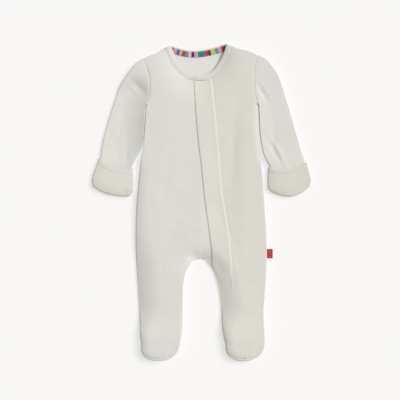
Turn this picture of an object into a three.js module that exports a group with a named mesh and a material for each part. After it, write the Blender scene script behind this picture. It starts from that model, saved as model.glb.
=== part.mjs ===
// Footed baby sleepsuit, laid flat on its back with its front up and its mittens folded over.
// Millimetres, +Z up, +Y towards the neck. Right and left are the wearer's: the right side of
// the suit is at negative x. Every piece is a closed wall of cloth grown from its outer points.
import * as THREE from "three";

// Cloth thicknesses and the gap that is left at each seam.
const CLOTH = 1.5;
const DOUBLED_CLOTH = 2.2;
const TAPE_CLOTH = 1.0;
const SEAM_GAP = 0.3;

// How the laid suit stands up from the floor.
const SEAM_HEIGHT = 4;
const BACK_CURL = 4;
const RIM_HEIGHT = 12.5;
const RIM_ROLL = 14;
const FULLNESS = 3;
const FULLNESS_REACH = 30;
const TORSO_SAG = 4.5;
const SAG_FROM = 36;
const SAG_TO = 96;
const FOOT_PUFF = 5.5;
const NECK_DIP = 4.5;
const NECK_CENTRE = { x: -4, y: 256 };
const NECK_RADIUS = 30;
const NECK_DIP_REACH = 26;

// Widths of the small pieces.
const TAPE_WIDTH = 10;
const TAPE_BELOW_EDGE = 4;
const TAPE_GAP = 0.6;
const TOE_LIP = 5;
const MITT_LIFT = -0.4;
const MITT_WIDTH = 72;
const MITT_LENGTH = 46;
const NECK_BAND_LENGTH = 76;

// Side seams from the underarm to the ball of the foot, a row for each height.
const SIDE_SEAM = [
  { y: 176, right: -96.8, left: 103.2 },
  { y: 155, right: -98.6, left: 103.8 },
  { y: 122, right: -100.6, left: 104.6 },
  { y: 94, right: -103.4, left: 107.4 },
  { y: 67, right: -108.6, left: 109.6 },
  { y: 40, right: -111.6, left: 112 },
  { y: 4, right: -115, left: 114.6 },
  { y: -40, right: -117, left: 117.6 },
  { y: -80, right: -117, left: 119.4 },
  { y: -122, right: -115, left: 118.4 },
  { y: -158, right: -112.6, left: 116.4 },
  { y: -200, right: -110.4, left: 113.6 },
  { y: -236, right: -109.4, left: 115.4 },
  { y: -257, right: -107, left: 115.2 },
];

// Inner edges of the legs from the crotch to the ball of the foot.
const INNER_LEG = [
  { y: -101.5, right: 0, left: 0 },
  { y: -104, right: -12, left: 9 },
  { y: -113, right: -19.6, left: 16 },
  { y: -122, right: -25, left: 22.2 },
  { y: -134, right: -28.8, left: 27 },
  { y: -149, right: -31, left: 31.4 },
  { y: -170, right: -31.8, left: 35 },
  { y: -200, right: -32, left: 37.4 },
  { y: -230, right: -32.8, left: 39 },
  { y: -257, right: -37.4, left: 44.6 },
];

// Rounded toes: a superellipse below the ball of the foot whose middle drifts to the tip.
const TOE = {
  right: { tipX: -77, tipY: -285, power: 2.2 },
  left: { tipX: 76, tipY: -285.5, power: 2.05 },
};

// Shoulder lines from the neck to the sleeve head, then armholes bowed in from a straight line.
const SHOULDER = {
  right: [[-54, 283], [-63, 279.4], [-72, 272.8], [-81, 268], [-92, 264.2], [-104, 259]],
  left: [[47, 286], [56, 282], [65, 278.4], [76, 275.6], [90, 271.4], [102, 265.6]],
};
const BAND_END = { right: [-64, 278.8], left: [57, 281.6] };
const ARMHOLE = {
  right: { top: [-104, 259], underarm: [-96.8, 176], bow: 9 },
  left: { top: [102, 265.6], underarm: [103.2, 176], bow: -6.5 },
};

// Sleeve rings from the armhole to the end that hides in the mitten, a row for each ring.
// bow bends a ring like the armhole, floor is how high the ring's lower cloth lies and lift is
// added to the height of its upper cloth.
const SLEEVE_RINGS = {
  right: [
    { outer: [-104.3, 259.2], inner: [-97.3, 175.6], bow: 9, floor: 0, lift: 0 },
    { outer: [-118, 249], inner: [-98, 174], bow: 5, floor: 0, lift: 0 },
    { outer: [-130, 234.5], inner: [-98.6, 171.4], bow: 2, floor: 0, lift: 0 },
    { outer: [-139.4, 221], inner: [-99.2, 167], bow: 0.5, floor: 0, lift: 0 },
    { outer: [-146.6, 208], inner: [-99.8, 160], bow: 0, floor: 0, lift: 0 },
    { outer: [-152, 193], inner: [-100.6, 150], bow: 0, floor: 0, lift: 0 },
    { outer: [-156.4, 179], inner: [-101.4, 139], bow: 0, floor: 0, lift: -0.3 },
    { outer: [-161, 165], inner: [-102.4, 126], bow: 0, floor: 0, lift: -0.6 },
    { outer: [-166.4, 147], inner: [-105, 111], bow: 0, floor: 0, lift: -1 },
    { outer: [-172, 127], inner: [-109.8, 95], bow: 0, floor: 0, lift: -1.4 },
    { outer: [-177, 107], inner: [-115.6, 80.6], bow: 0, floor: 0, lift: -1.8 },
    { outer: [-179.4, 93], inner: [-120.4, 71], bow: 0, floor: 0.9, lift: -2.3 },
    { outer: [-180.6, 82.4], inner: [-123.6, 63], bow: 0, floor: 1.8, lift: -2.7 },
    { outer: [-183.6, 70], inner: [-124.4, 50], bow: 0, floor: 1.8, lift: -2.8 },
  ],
  left: [
    { outer: [102.3, 265.8], inner: [103.8, 175.6], bow: -6.5, floor: 0, lift: 0 },
    { outer: [117, 258.5], inner: [104.2, 174], bow: -4, floor: 0, lift: 0 },
    { outer: [129, 245], inner: [104.4, 171.4], bow: -2, floor: 0, lift: 0 },
    { outer: [138.6, 231], inner: [104.7, 167], bow: -0.5, floor: 0, lift: 0 },
    { outer: [145, 215.6], inner: [105, 160], bow: 0, floor: 0, lift: 0 },
    { outer: [149, 203], inner: [105.4, 150], bow: 0, floor: 0, lift: 0 },
    { outer: [153, 191], inner: [105.8, 139], bow: 0, floor: 0, lift: -0.3 },
    { outer: [158, 175], inner: [106.8, 125], bow: 0, floor: 0, lift: -0.6 },
    { outer: [164, 154], inner: [108.8, 110], bow: 0, floor: 0, lift: -1 },
    { outer: [170.6, 131], inner: [111.8, 95], bow: 0, floor: 0, lift: -1.4 },
    { outer: [177, 108], inner: [115.6, 81], bow: 0, floor: 0, lift: -1.8 },
    { outer: [182.4, 91], inner: [120.4, 71.4], bow: 0, floor: 0.9, lift: -2.3 },
    { outer: [185.8, 80], inner: [123.6, 64.4], bow: 0, floor: 1.8, lift: -2.7 },
    { outer: [189.6, 64], inner: [124.4, 52], bow: 0, floor: 1.8, lift: -2.8 },
  ],
};

// Mittens: the hem across the sleeve, the two sides and the rounded bottom.
const MITT = {
  right: {
    hem: [[-183.6, 79], [-173, 72.2], [-159, 65.4], [-144, 61], [-131, 59.8], [-121.6, 62]],
    outerSide: [[-183.6, 79], [-187.4, 67], [-191.4, 57], [-194.4, 48], [-196, 38], [-194, 29]],
    innerSide: [[-121.6, 62], [-121, 48], [-120.6, 34], [-121.4, 18]],
    bottom: [[-194, 29], [-186, 22.6], [-166, 14.4], [-146, 11.2], [-129, 11], [-121.4, 18]],
  },
  left: {
    hem: [
      [191, 72], [180, 65.6], [168, 62.8], [155, 61.2], [144, 60.2], [137.5, 59.6], [130, 60.8], [121.4, 63],
    ],
    outerSide: [[191, 72], [194, 60], [197, 49], [199, 39], [196, 28]],
    innerSide: [[121.4, 63], [120.6, 48], [120.6, 34], [121.6, 23]],
    bottom: [[196, 28], [183, 17.6], [162, 10.4], [142, 12.6], [129, 18], [121.6, 23]],
  },
};

// Neck: free edge and seam of each binding, from the shoulder towards the placket.
const NECK_FRONT = {
  right: {
    edge: [
      [-54, 282.6], [-48.6, 271], [-43.6, 261], [-35, 247.4], [-25.7, 237.8], [-16.6, 231], [-11.4, 228.6],
    ],
    seam: [[-63.6, 279], [-60, 268], [-55, 256], [-48, 245], [-39.6, 235.6], [-28, 225.4], [-12, 219.8]],
    rise: 0,
  },
  left: {
    edge: [[47, 285.6], [44.6, 276], [40.6, 265.6], [32, 249.6], [22.5, 238], [9, 231], [-9.6, 228.8]],
    seam: [[56.6, 281.8], [53.4, 270], [47.4, 259], [38.6, 245], [27.6, 231], [16, 222], [-10, 219.8]],
    rise: 1.9,
  },
};
const BACK_NECK = [
  { edge: [-54, 282.8], seam: [-63.4, 279.2] },
  { edge: [-50, 281.9], seam: [-55.4, 273.8] },
  { edge: [-45, 280.6], seam: [-48.6, 271.6] },
  { edge: [-36, 277.8], seam: [-38.6, 268.8] },
  { edge: [-20, 274.6], seam: [-21, 265.6] },
  { edge: [0, 275], seam: [0, 266] },
  { edge: [18, 278.2], seam: [19.8, 269.3] },
  { edge: [29, 281.2], seam: [31.4, 272.4] },
  { edge: [38, 284.2], seam: [41.4, 275.4] },
  { edge: [44, 285.6], seam: [49.4, 277.8] },
  { edge: [47, 286], seam: [56.4, 281.9] },
];

// Placket: its free edge, its stitched edge and the hidden edge of the right front below it.
const PLACKET = [
  { y: 219.4, free: -12, sewn: 21 },
  { y: 172, free: -9.4, sewn: 26.5 },
  { y: 117, free: -5, sewn: 32 },
  { y: 61.6, free: 1.6, sewn: 36.4 },
  { y: 6.5, free: 7.2, sewn: 41.8 },
  { y: -50, free: 15, sewn: 51.4 },
  { y: -95, free: 20.4, sewn: 56.2 },
  { y: -120, free: 21.4, sewn: 57.6 },
  { y: -154, free: 32.2, sewn: 58.6 },
];
const UNDERLAP = [
  { y: 219.2, x: -1 }, { y: 117, x: 6 }, { y: 6.5, x: 18 }, { y: -50, x: 25.4 }, { y: -84, x: 25.6 },
  { y: -104, x: 20.4 }, { y: -119.8, x: 20.7 },
];
const UNDERLAP_COLUMNS = [0, 0.25, 0.5, 0.75, 1];
const CROTCH_SPLIT_Y = -119.8;
const PLACKET_RIM_Y = -120.6;
const PLACKET_END = -154;
const PLACKET_CORNER_RISE = 5.4;

// Height of the placket's top above the front along its width, u from the free to the sewn edge.
const PLACKET_RISE = [
  { u: 0, rise: 2.5 }, { u: 0.03, rise: 2.7 }, { u: 0.12, rise: 2.8 }, { u: 0.4, rise: 2.6 },
  { u: 0.64, rise: 1.9 }, { u: 0.87, rise: 2.7 }, { u: 1, rise: 2 },
];

// Height of a front neck binding across its width, u from the free edge to the seam.
const BAND_CROWN = [
  { u: 0, rise: 0.3 }, { u: 0.2, rise: 1 }, { u: 0.5, rise: 1.4 }, { u: 0.8, rise: 1 }, { u: 1, rise: 0.3 },
];

// Main creases: middle, direction in degrees, length, width and height (troughs are negative).
const CREASES = [
  { x: -111, y: 206, turn: -34, length: 34, width: 8, height: -2.6 },
  { x: -133, y: 82, turn: -75, length: 34, width: 8, height: -1.6 },
  { x: -138, y: 150, turn: -70, length: 70, width: 16, height: 0.9 },
  { x: 112, y: 196, turn: -60, length: 30, width: 8, height: -2.2 },
  { x: 133, y: 92, turn: -58, length: 42, width: 7, height: -2.2 },
  { x: 144, y: 84, turn: -65, length: 44, width: 9, height: 1.2 },
  { x: 60, y: 100, turn: 88, length: 120, width: 18, height: -1.3 },
  { x: -58, y: 60, turn: 80, length: 130, width: 22, height: -1 },
  { x: -36, y: -112, turn: 58, length: 30, width: 10, height: -2 },
  { x: -96, y: -168, turn: 88, length: 60, width: 10, height: -1.3 },
  { x: 41, y: -160, turn: -82, length: 90, width: 13, height: -2.6 },
  { x: 92, y: -238, turn: 20, length: 30, width: 9, height: -1 },
];

// Folded tab in the left side seam.
const TAB = { y: -92.2, width: 16.8, reach: 10.6, layer: 1, slit: 0.4, floor: 2.2, clearance: 0.4 };

// Heel seam on the underside: its ends on the sides of the leg and its rise between them.
const HEEL_Y = -238;
const HEEL_RISE = 22;

const CLOTH_COLOUR = 0xdedcd3;
const MITT_COLOUR = 0xdbd8cd;
const BAND_COLOUR = 0xe2dfd8;
const TAPE_COLOUR = 0xc9788c;
const TAB_COLOUR = 0xc4262e;

// Columns of a rolled edge, by their distance from it, and the columns between edges.
const ROLL_STEPS = [0, 0.8, 3, 7, 13];
const CURL_STEPS = [0, 1.2, 4];
const LEG_BETWEEN = 4;
const LIP_COLUMNS = [0, 0.16, 0.5, 1];

const lerp = THREE.MathUtils.lerp;
const smoothstep = THREE.MathUtils.smoothstep;

function steps(count) {
  return Array.from({ length: count + 1 }, (_, i) => i / count);
}

function curve(points) {
  const places = points.map(([x, y]) => new THREE.Vector3(x, y, 0));
  return new THREE.CatmullRomCurve3(places, false, "centripetal");
}

function samples(points, step = 2.5) {
  const line = curve(points);
  const count = Math.ceil(line.getLength() / step);
  return line.getSpacedPoints(count).map(({ x, y }) => [x, y]);
}

function column(table, name) {
  return table.map((row) => [row[name], row.y]);
}

// Value of a table's column at a height, along a smooth curve through its rows.
function valueAt(table, name, y) {
  const last = table.length - 1;
  const down = table[0].y > table[last].y ? 1 : -1;
  let i = 0;
  while (i < last - 1 && down * (y - table[i + 1].y) < 0) {
    i += 1;
  }
  const a = table[i];
  const b = table[i + 1];
  const before = table[Math.max(i - 1, 0)];
  const after = table[Math.min(i + 2, last)];
  const slopeA = (b[name] - before[name]) / (b.y - before.y);
  const slopeB = (after[name] - a[name]) / (after.y - a.y);
  const span = b.y - a.y;
  const t = THREE.MathUtils.clamp((y - a.y) / span, 0, 1);
  const rise = t * t * (3 - 2 * t);
  const bendA = span * slopeA * t * (1 - t) ** 2;
  const bendB = span * slopeB * t * t * (t - 1);
  return lerp(a[name], b[name], rise) + bendA + bendB;
}

function armholePoint(side, t, out = 0) {
  const { top, underarm, bow } = ARMHOLE[side];
  const bend = bow * 4 * t * (1 - t) + out;
  return [lerp(top[0], underarm[0], t) + bend, lerp(top[1], underarm[1], t)];
}

// Toe edge from the outer side round the tip to the inner side, t from 0 to 1.
function toePoint(side, t, inset = 0) {
  const outerX = SIDE_SEAM.at(-1)[side];
  const innerX = INNER_LEG.at(-1)[side];
  const ballY = SIDE_SEAM.at(-1).y;
  const { tipX, tipY, power } = TOE[side];
  const angle = t * Math.PI;
  const across = Math.sign(Math.cos(angle)) * Math.abs(Math.cos(angle)) ** (2 / power);
  const down = Math.sin(angle) ** (2 / power);
  const half = (outerX - innerX) / 2;
  const middle = lerp((outerX + innerX) / 2, tipX, down);
  const reach = ballY - tipY - inset;
  return [middle + half * across, ballY - reach * down];
}

function toeEdge(side) {
  return steps(32).map((t) => toePoint(side, t));
}

function sideSamples(side) {
  const top = SIDE_SEAM[0].y;
  const bottom = SIDE_SEAM.at(-1).y;
  return steps(150).map((t) => {
    const y = lerp(top, bottom, t);
    return [valueAt(SIDE_SEAM, side, y), y];
  });
}

// Outline of the suit as three lines with the cloth on their left, open at the neck and cuffs.
function outlineOfSuit() {
  const sleeveSide = (side, name) => SLEEVE_RINGS[side].map((ring) => ring[name]);
  const lowerBody = [
    ...samples(sleeveSide("right", "inner")).reverse(),
    ...sideSamples("right"),
    ...toeEdge("right"),
    ...samples(column(INNER_LEG, "right")).reverse(),
    ...samples(column(INNER_LEG, "left")),
    ...toeEdge("left").reverse(),
    ...sideSamples("left").reverse(),
    ...samples(sleeveSide("left", "inner")),
  ];
  const leftTop = [
    ...samples(sleeveSide("left", "outer")).reverse(),
    ...samples(SHOULDER.left).reverse(),
  ];
  const rightTop = [...samples(SHOULDER.right), ...samples(sleeveSide("right", "outer"))];
  return [lowerBody, leftTop, rightTop];
}

function outlineOfMitt(side) {
  const { outerSide, bottom, innerSide } = MITT[side];
  const line = [...samples(outerSide), ...samples(bottom), ...samples(innerSide).reverse()];
  return [side === "right" ? line : line.reverse()];
}

// Nearest point of an outline: distance to it and the direction from it into the cloth.
function nearest(outline, x, y) {
  let best = { distance: Infinity, inX: 0, inY: 0 };
  for (const line of outline) {
    for (let i = 0; i + 1 < line.length; i += 1) {
      const [ax, ay] = line[i];
      const dx = line[i + 1][0] - ax;
      const dy = line[i + 1][1] - ay;
      const length = Math.hypot(dx, dy);
      if (length < 1e-6) {
        continue;
      }
      const t = THREE.MathUtils.clamp(((x - ax) * dx + (y - ay) * dy) / length ** 2, 0, 1);
      const offX = x - ax - t * dx;
      const offY = y - ay - t * dy;
      const distance = Math.hypot(offX, offY);
      if (distance < best.distance - 1e-9) {
        const clear = distance > 0.3;
        const inX = clear ? offX / distance : -dy / length;
        const inY = clear ? offY / distance : dx / length;
        best = { distance, inX, inY };
      }
    }
  }
  return best;
}

const SUIT_OUTLINE = outlineOfSuit();
const MITT_OUTLINE = { right: outlineOfMitt("right"), left: outlineOfMitt("left") };

function roll(distance) {
  const t = Math.min(distance / RIM_ROLL, 1);
  return Math.sqrt(1 - (1 - t) ** 2);
}

function creaseHeight(x, y) {
  let height = 0;
  for (const crease of CREASES) {
    const turn = THREE.MathUtils.degToRad(crease.turn);
    const dx = x - crease.x;
    const dy = y - crease.y;
    const along = (dx * Math.cos(turn) + dy * Math.sin(turn)) / (crease.length / 2);
    const across = (dy * Math.cos(turn) - dx * Math.sin(turn)) / (crease.width / 2);
    height += crease.height * Math.exp(-(along ** 2) - across ** 2);
  }
  return height;
}

// Height of the front cloth: a rolled rim, full legs and sleeves, and a torso that sags.
function frontHeight(x, y, distance, lift) {
  const filled = Math.min(distance / FULLNESS_REACH, 1);
  const full = FULLNESS * (1 - (1 - filled) ** 2);
  const sag = TORSO_SAG * smoothstep(distance, SAG_FROM, SAG_TO);
  const puff = FOOT_PUFF * smoothstep(-y, 196, 246);
  const fromNeck = Math.hypot(x - NECK_CENTRE.x, y - NECK_CENTRE.y) - NECK_RADIUS;
  const dip = NECK_DIP * Math.exp(-((Math.max(fromNeck, 0) / NECK_DIP_REACH) ** 2));
  const top = RIM_HEIGHT + full - sag + puff - dip + lift + creaseHeight(x, y);
  const seam = SEAM_HEIGHT + SEAM_GAP;
  return seam + (top - seam) * roll(distance);
}

function wall(x, y, z, normal, rise, thickness) {
  const outer = [x + normal[0] * rise, y + normal[1] * rise, z + normal[2] * rise];
  const inner = outer.map((value, i) => value - normal[i] * thickness);
  return { outer, inner };
}

// Wall of the upper cloth at a point. rim marks the points that lie on the outline itself.
function frontWall(x, y, options = {}) {
  const { rim = false, rise = 0, thickness = CLOTH, outline = SUIT_OUTLINE, lift = 0 } = options;
  const edge = options.edge ?? nearest(outline, x, y);
  const seam = SEAM_HEIGHT + (options.closed ? 0 : SEAM_GAP);
  if (rim) {
    return wall(x, y, seam, [-edge.inX, -edge.inY, 0], 0, thickness);
  }
  const step = 0.05;
  const z = frontHeight(x, y, edge.distance, lift);
  const slope = (frontHeight(x, y, edge.distance + step, lift) - z) / step;
  const length = Math.hypot(slope, 1);
  const normal = [(-slope * edge.inX) / length, (-slope * edge.inY) / length, 1 / length];
  const eased = rise * smoothstep(edge.distance, 0, 6);
  return wall(x, y, z, normal, eased, thickness);
}

// Wall of the lower cloth at a point: flat on the floor and curled up to its seam at the rim.
function backWall(x, y, options = {}) {
  const { rim = false, thickness = CLOTH, outline = SUIT_OUTLINE, floor = 0 } = options;
  const edge = options.edge ?? nearest(outline, x, y);
  if (rim) {
    return wall(x, y, SEAM_HEIGHT, [-edge.inX, -edge.inY, 0], 0, thickness);
  }
  const t = Math.min(edge.distance / BACK_CURL, 1);
  const rest = Math.sqrt(1 - (1 - t) ** 2);
  const z = lerp(SEAM_HEIGHT, floor, rest);
  const out = 1 - t;
  const normal = [-edge.inX * out, -edge.inY * out, -rest];
  return wall(x, y, z, normal, 0, thickness);
}

// A closed piece of cloth: outer faces, the same faces inside, and walls round its free edges.
class Cloth {
  constructor() {
    this.points = [];
    this.faces = [];
    this.known = new Map();
  }

  point(place) {
    const key = place.outer.map((value) => value.toFixed(3)).join();
    if (!this.known.has(key)) {
      this.known.set(key, this.points.length);
      this.points.push(place);
    }
    return this.known.get(key);
  }

  // A face is turned so that it looks from the inner points to the outer ones.
  face(corners) {
    const kept = corners.filter((corner, i) => corner !== corners[(i + 1) % corners.length]);
    if (kept.length < 3) {
      return;
    }
    const outer = kept.map((corner) => new THREE.Vector3(...this.points[corner].outer));
    const facing = new THREE.Vector3();
    outer.forEach((place, i) => facing.add(place.clone().cross(outer[(i + 1) % outer.length])));
    const outward = new THREE.Vector3();
    kept.forEach((corner, i) => {
      outward.add(outer[i]).sub(new THREE.Vector3(...this.points[corner].inner));
    });
    this.faces.push(facing.dot(outward) > 0 ? kept : kept.reverse());
  }

  grid(rows) {
    const indexed = rows.map((row) => row.map((place) => this.point(place)));
    for (let i = 0; i + 1 < indexed.length; i += 1) {
      for (let j = 0; j + 1 < indexed[i].length; j += 1) {
        this.face([indexed[i][j], indexed[i + 1][j], indexed[i + 1][j + 1], indexed[i][j + 1]]);
      }
    }
  }

  mesh(name, colour) {
    const count = this.points.length;
    const places = [...this.points.map(({ outer }) => outer), ...this.points.map(({ inner }) => inner)];
    const triangles = [];
    const edges = new Map();
    const fan = (corners) => {
      for (let i = 1; i + 1 < corners.length; i += 1) {
        triangles.push([corners[0], corners[i], corners[i + 1]]);
      }
    };
    for (const corners of this.faces) {
      fan(corners);
      for (let i = 1; i + 1 < corners.length; i += 1) {
        triangles.push([corners[0], corners[i + 1], corners[i]].map((corner) => corner + count));
      }
      corners.forEach((from, i) => {
        const to = corners[(i + 1) % corners.length];
        edges.set(`${from},${to}`, [from, to]);
      });
    }
    for (const [from, to] of edges.values()) {
      if (!edges.has(`${to},${from}`)) {
        fan([to, from, from + count, to + count]);
      }
    }
    return bodyMesh(name, colour, places, triangles);
  }
}

function bodyMesh(name, colour, places, triangles) {
  const geometry = new THREE.BufferGeometry();
  geometry.setAttribute("position", new THREE.Float32BufferAttribute(places.flat(), 3));
  geometry.setIndex(triangles.flat());
  geometry.computeVertexNormals();
  const material = new THREE.MeshStandardMaterial({ color: colour, roughness: 0.9, metalness: 0 });
  const mesh = new THREE.Mesh(geometry, material);
  mesh.name = name;
  return mesh;
}

// Fractions across a width: close steps at each rolled end and even ones between them.
function fractions(width, startSteps, endSteps, between) {
  const start = startSteps.map((step) => step / width);
  const end = endSteps.map((step) => 1 - step / width).reverse();
  const low = start.at(-1);
  const high = end[0];
  const middle = Array.from({ length: between }, (_, i) => lerp(low, high, (i + 1) / (between + 1)));
  return [...start, ...middle, ...end];
}

// Rows of places between two lines of points. make turns a plan point into a wall of cloth.
function ruled(startLine, endLine, columnsOf, make) {
  return startLine.map((start, row) => {
    const end = endLine[row];
    const width = Math.hypot(end[0] - start[0], end[1] - start[1]);
    const places = columnsOf(width);
    return places.map((u, i) => {
      const x = lerp(start[0], end[0], u);
      const y = lerp(start[1], end[1], u);
      return make(x, y, { first: i === 0, last: i === places.length - 1, row, u });
    });
  });
}

// Plan point of a four-sided patch whose sides are curves that meet at its corners.
function patchPoint(sides, u, v) {
  const { top, bottom, start, end } = sides;
  const a = top(u);
  const b = bottom(u);
  const c = start(v);
  const d = end(v);
  return [0, 1].map((axis) => {
    const ruledRows = lerp(a[axis], b[axis], v);
    const ruledColumns = lerp(c[axis], d[axis], u);
    const cornersTop = lerp(top(0)[axis], top(1)[axis], u);
    const cornersBottom = lerp(bottom(0)[axis], bottom(1)[axis], u);
    return ruledRows + ruledColumns - lerp(cornersTop, cornersBottom, v);
  });
}

function onCurve(points, flip = false) {
  const line = curve(points);
  return (t) => {
    const { x, y } = line.getPointAt(flip ? 1 - t : t);
    return [x, y];
  };
}

// Edge seen from a point of the armhole. By the shoulder both sides of the seam take the seam's
// own direction for it, so that their cut faces lie side by side.
const SHOULDER_ZONE_Y = 240;
function armholeEdge(x, y) {
  const edge = nearest(SUIT_OUTLINE, x, y);
  return y > SHOULDER_ZONE_Y ? { distance: edge.distance, inX: 0, inY: -1 } : edge;
}

// Outer side of a yoke: along the shoulder to the sleeve head, then down the armhole.
const SHOULDER_SHARE = 0.34;
function yokeSide(side) {
  const [startX] = BAND_END[side];
  const beyond = SHOULDER[side].filter(([x]) => Math.abs(x) > Math.abs(startX) + 3);
  const shoulder = onCurve([BAND_END[side], ...beyond]);
  return (t) => {
    if (t <= SHOULDER_SHARE) {
      return shoulder(t / SHOULDER_SHARE);
    }
    return armholePoint(side, (t - SHOULDER_SHARE) / (1 - SHOULDER_SHARE));
  };
}

// Yoke of a front or of half the back, from the neck seam down to the underarm.
const ARMHOLE_LENGTH = 86;
const ARMHOLE_STEPS = [...ROLL_STEPS.map((step) => step / ARMHOLE_LENGTH), 0.3, 0.48, 0.66, 0.84, 1];
const YOKE_ROWS = [0, 0.08, 0.18, 0.27, ...ARMHOLE_STEPS.map((t) => lerp(SHOULDER_SHARE, 1, t))];
function yoke(side, neck, innerLine, columns, make = frontWall) {
  const outer = yokeSide(side);
  const base = outer(1);
  const innerBase = innerLine(1);
  const sides = {
    top: neck,
    bottom: (u) => [lerp(base[0], innerBase[0], u), base[1]],
    start: outer,
    end: innerLine,
  };
  return YOKE_ROWS.map((v) =>
    columns.map((u, i) => {
      const [x, y] = patchPoint(sides, u, v);
      const rim = i === 0 && v <= SHOULDER_SHARE;
      const edge = i === 0 && v >= SHOULDER_SHARE ? armholeEdge(x, y) : undefined;
      return make(x, y, { rim, edge });
    }),
  );
}

const UNDERARM_Y = SIDE_SEAM[0].y;
const CROTCH_Y = INNER_LEG[0].y;
const BALL_Y = SIDE_SEAM.at(-1).y;

const LEG_ROWS = 11;
const INNER_LEG_CURVE = {
  right: onCurve(column(INNER_LEG, "right")),
  left: onCurve(column(INNER_LEG, "left")),
};

function heights(from, to, count) {
  return steps(count).map((t) => lerp(from, to, t));
}

// Neck seam of a front panel, just outside the seam of its binding.
function panelNeck(side) {
  const out = side === "right" ? -0.35 : 0.35;
  const kept = side === "right" ? NECK_FRONT.right.seam.slice(1) : NECK_FRONT.left.seam.slice(1, 5);
  return kept.map(([x, y]) => [x + out, y - SEAM_GAP]);
}

// Share of the inner leg's length at which it reaches a height.
function shareAtHeight(side, y) {
  const inner = INNER_LEG_CURVE[side];
  let low = 0;
  let high = 1;
  for (let i = 0; i < 30; i += 1) {
    const t = (low + high) / 2;
    if (inner(t)[1] > y) {
      low = t;
    } else {
      high = t;
    }
  }
  return (low + high) / 2;
}

function innerLegFrom(from, to) {
  return (t) => INNER_LEG_CURVE.left(lerp(from, to, t));
}

// Lines down a leg between two heights: its side seam and its inner edge.
function legLines(side, from, bottomY, count = LEG_ROWS) {
  const to = bottomY === BALL_Y ? 1 : shareAtHeight(side, bottomY);
  const innerLine = steps(count).map((t) => INNER_LEG_CURVE[side](lerp(from, to, t)));
  const topY = innerLine[0][1];
  const outerLine = steps(count).map((t) => {
    const y = lerp(topY, bottomY, t);
    return [valueAt(SIDE_SEAM, side, y), y];
  });
  return { outerLine, innerLine };
}

// Lines round a toe: outer and inner points that close at the tip. inset shortens the toe.
const TOE_ROWS = [0, 0.1, 0.2, 0.29, 0.37, 0.44, 0.5];
function toeLines(side, inset) {
  return {
    outerLine: TOE_ROWS.map((t) => toePoint(side, t, inset)),
    innerLine: TOE_ROWS.map((t) => toePoint(side, 1 - t, inset)),
  };
}

const NARROWEST_ROLLED = 32;
const NARROWEST_FLAT = 16;
const FLAT_BETWEEN = 3;
const legColumns = (width) =>
  fractions(Math.max(width, NARROWEST_ROLLED), ROLL_STEPS, ROLL_STEPS, LEG_BETWEEN);
const flatColumns = (width) =>
  fractions(Math.max(width, NARROWEST_FLAT), CURL_STEPS, CURL_STEPS, FLAT_BETWEEN);

function rimmedFront(x, y, { first, last }) {
  return frontWall(x, y, { rim: first || last });
}

// Front of one foot from the ball to the seam round the toe.
function toeFront(side) {
  const { outerLine, innerLine } = toeLines(side, TOE_LIP + SEAM_GAP);
  return ruled(outerLine, innerLine, legColumns, (x, y, { first, last, row }) =>
    frontWall(x, y, { rim: row === 0 && (first || last) }),
  );
}

// Columns of the right front above the leg: they close up to the leg's own at the crotch.
// apexX is the line that runs from the crotch up to the underarm between its two parts.
const APEX_SPREAD = 2.4;
const APEX_SPREAD_REACH = 90;
const APEX_TOP_X = -44;
function apexColumns(width, y) {
  const spread = lerp(1, APEX_SPREAD, smoothstep(y, CROTCH_Y, CROTCH_Y + APEX_SPREAD_REACH));
  return fractions(width, ROLL_STEPS, ROLL_STEPS.map((step) => step * spread), LEG_BETWEEN);
}

function apexX(y) {
  return lerp(0, APEX_TOP_X, (y - CROTCH_Y) / (UNDERARM_Y - CROTCH_Y));
}

// Heights of the rows from the underarm to the crotch, closer towards the edge of the arch.
function torsoHeights(count) {
  const last = CROTCH_Y + ROLL_STEPS.at(-1);
  const close = ROLL_STEPS.slice(0, -1).reverse();
  return [...heights(UNDERARM_Y, last, count), ...close.map((step) => CROTCH_Y + step)];
}

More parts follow.
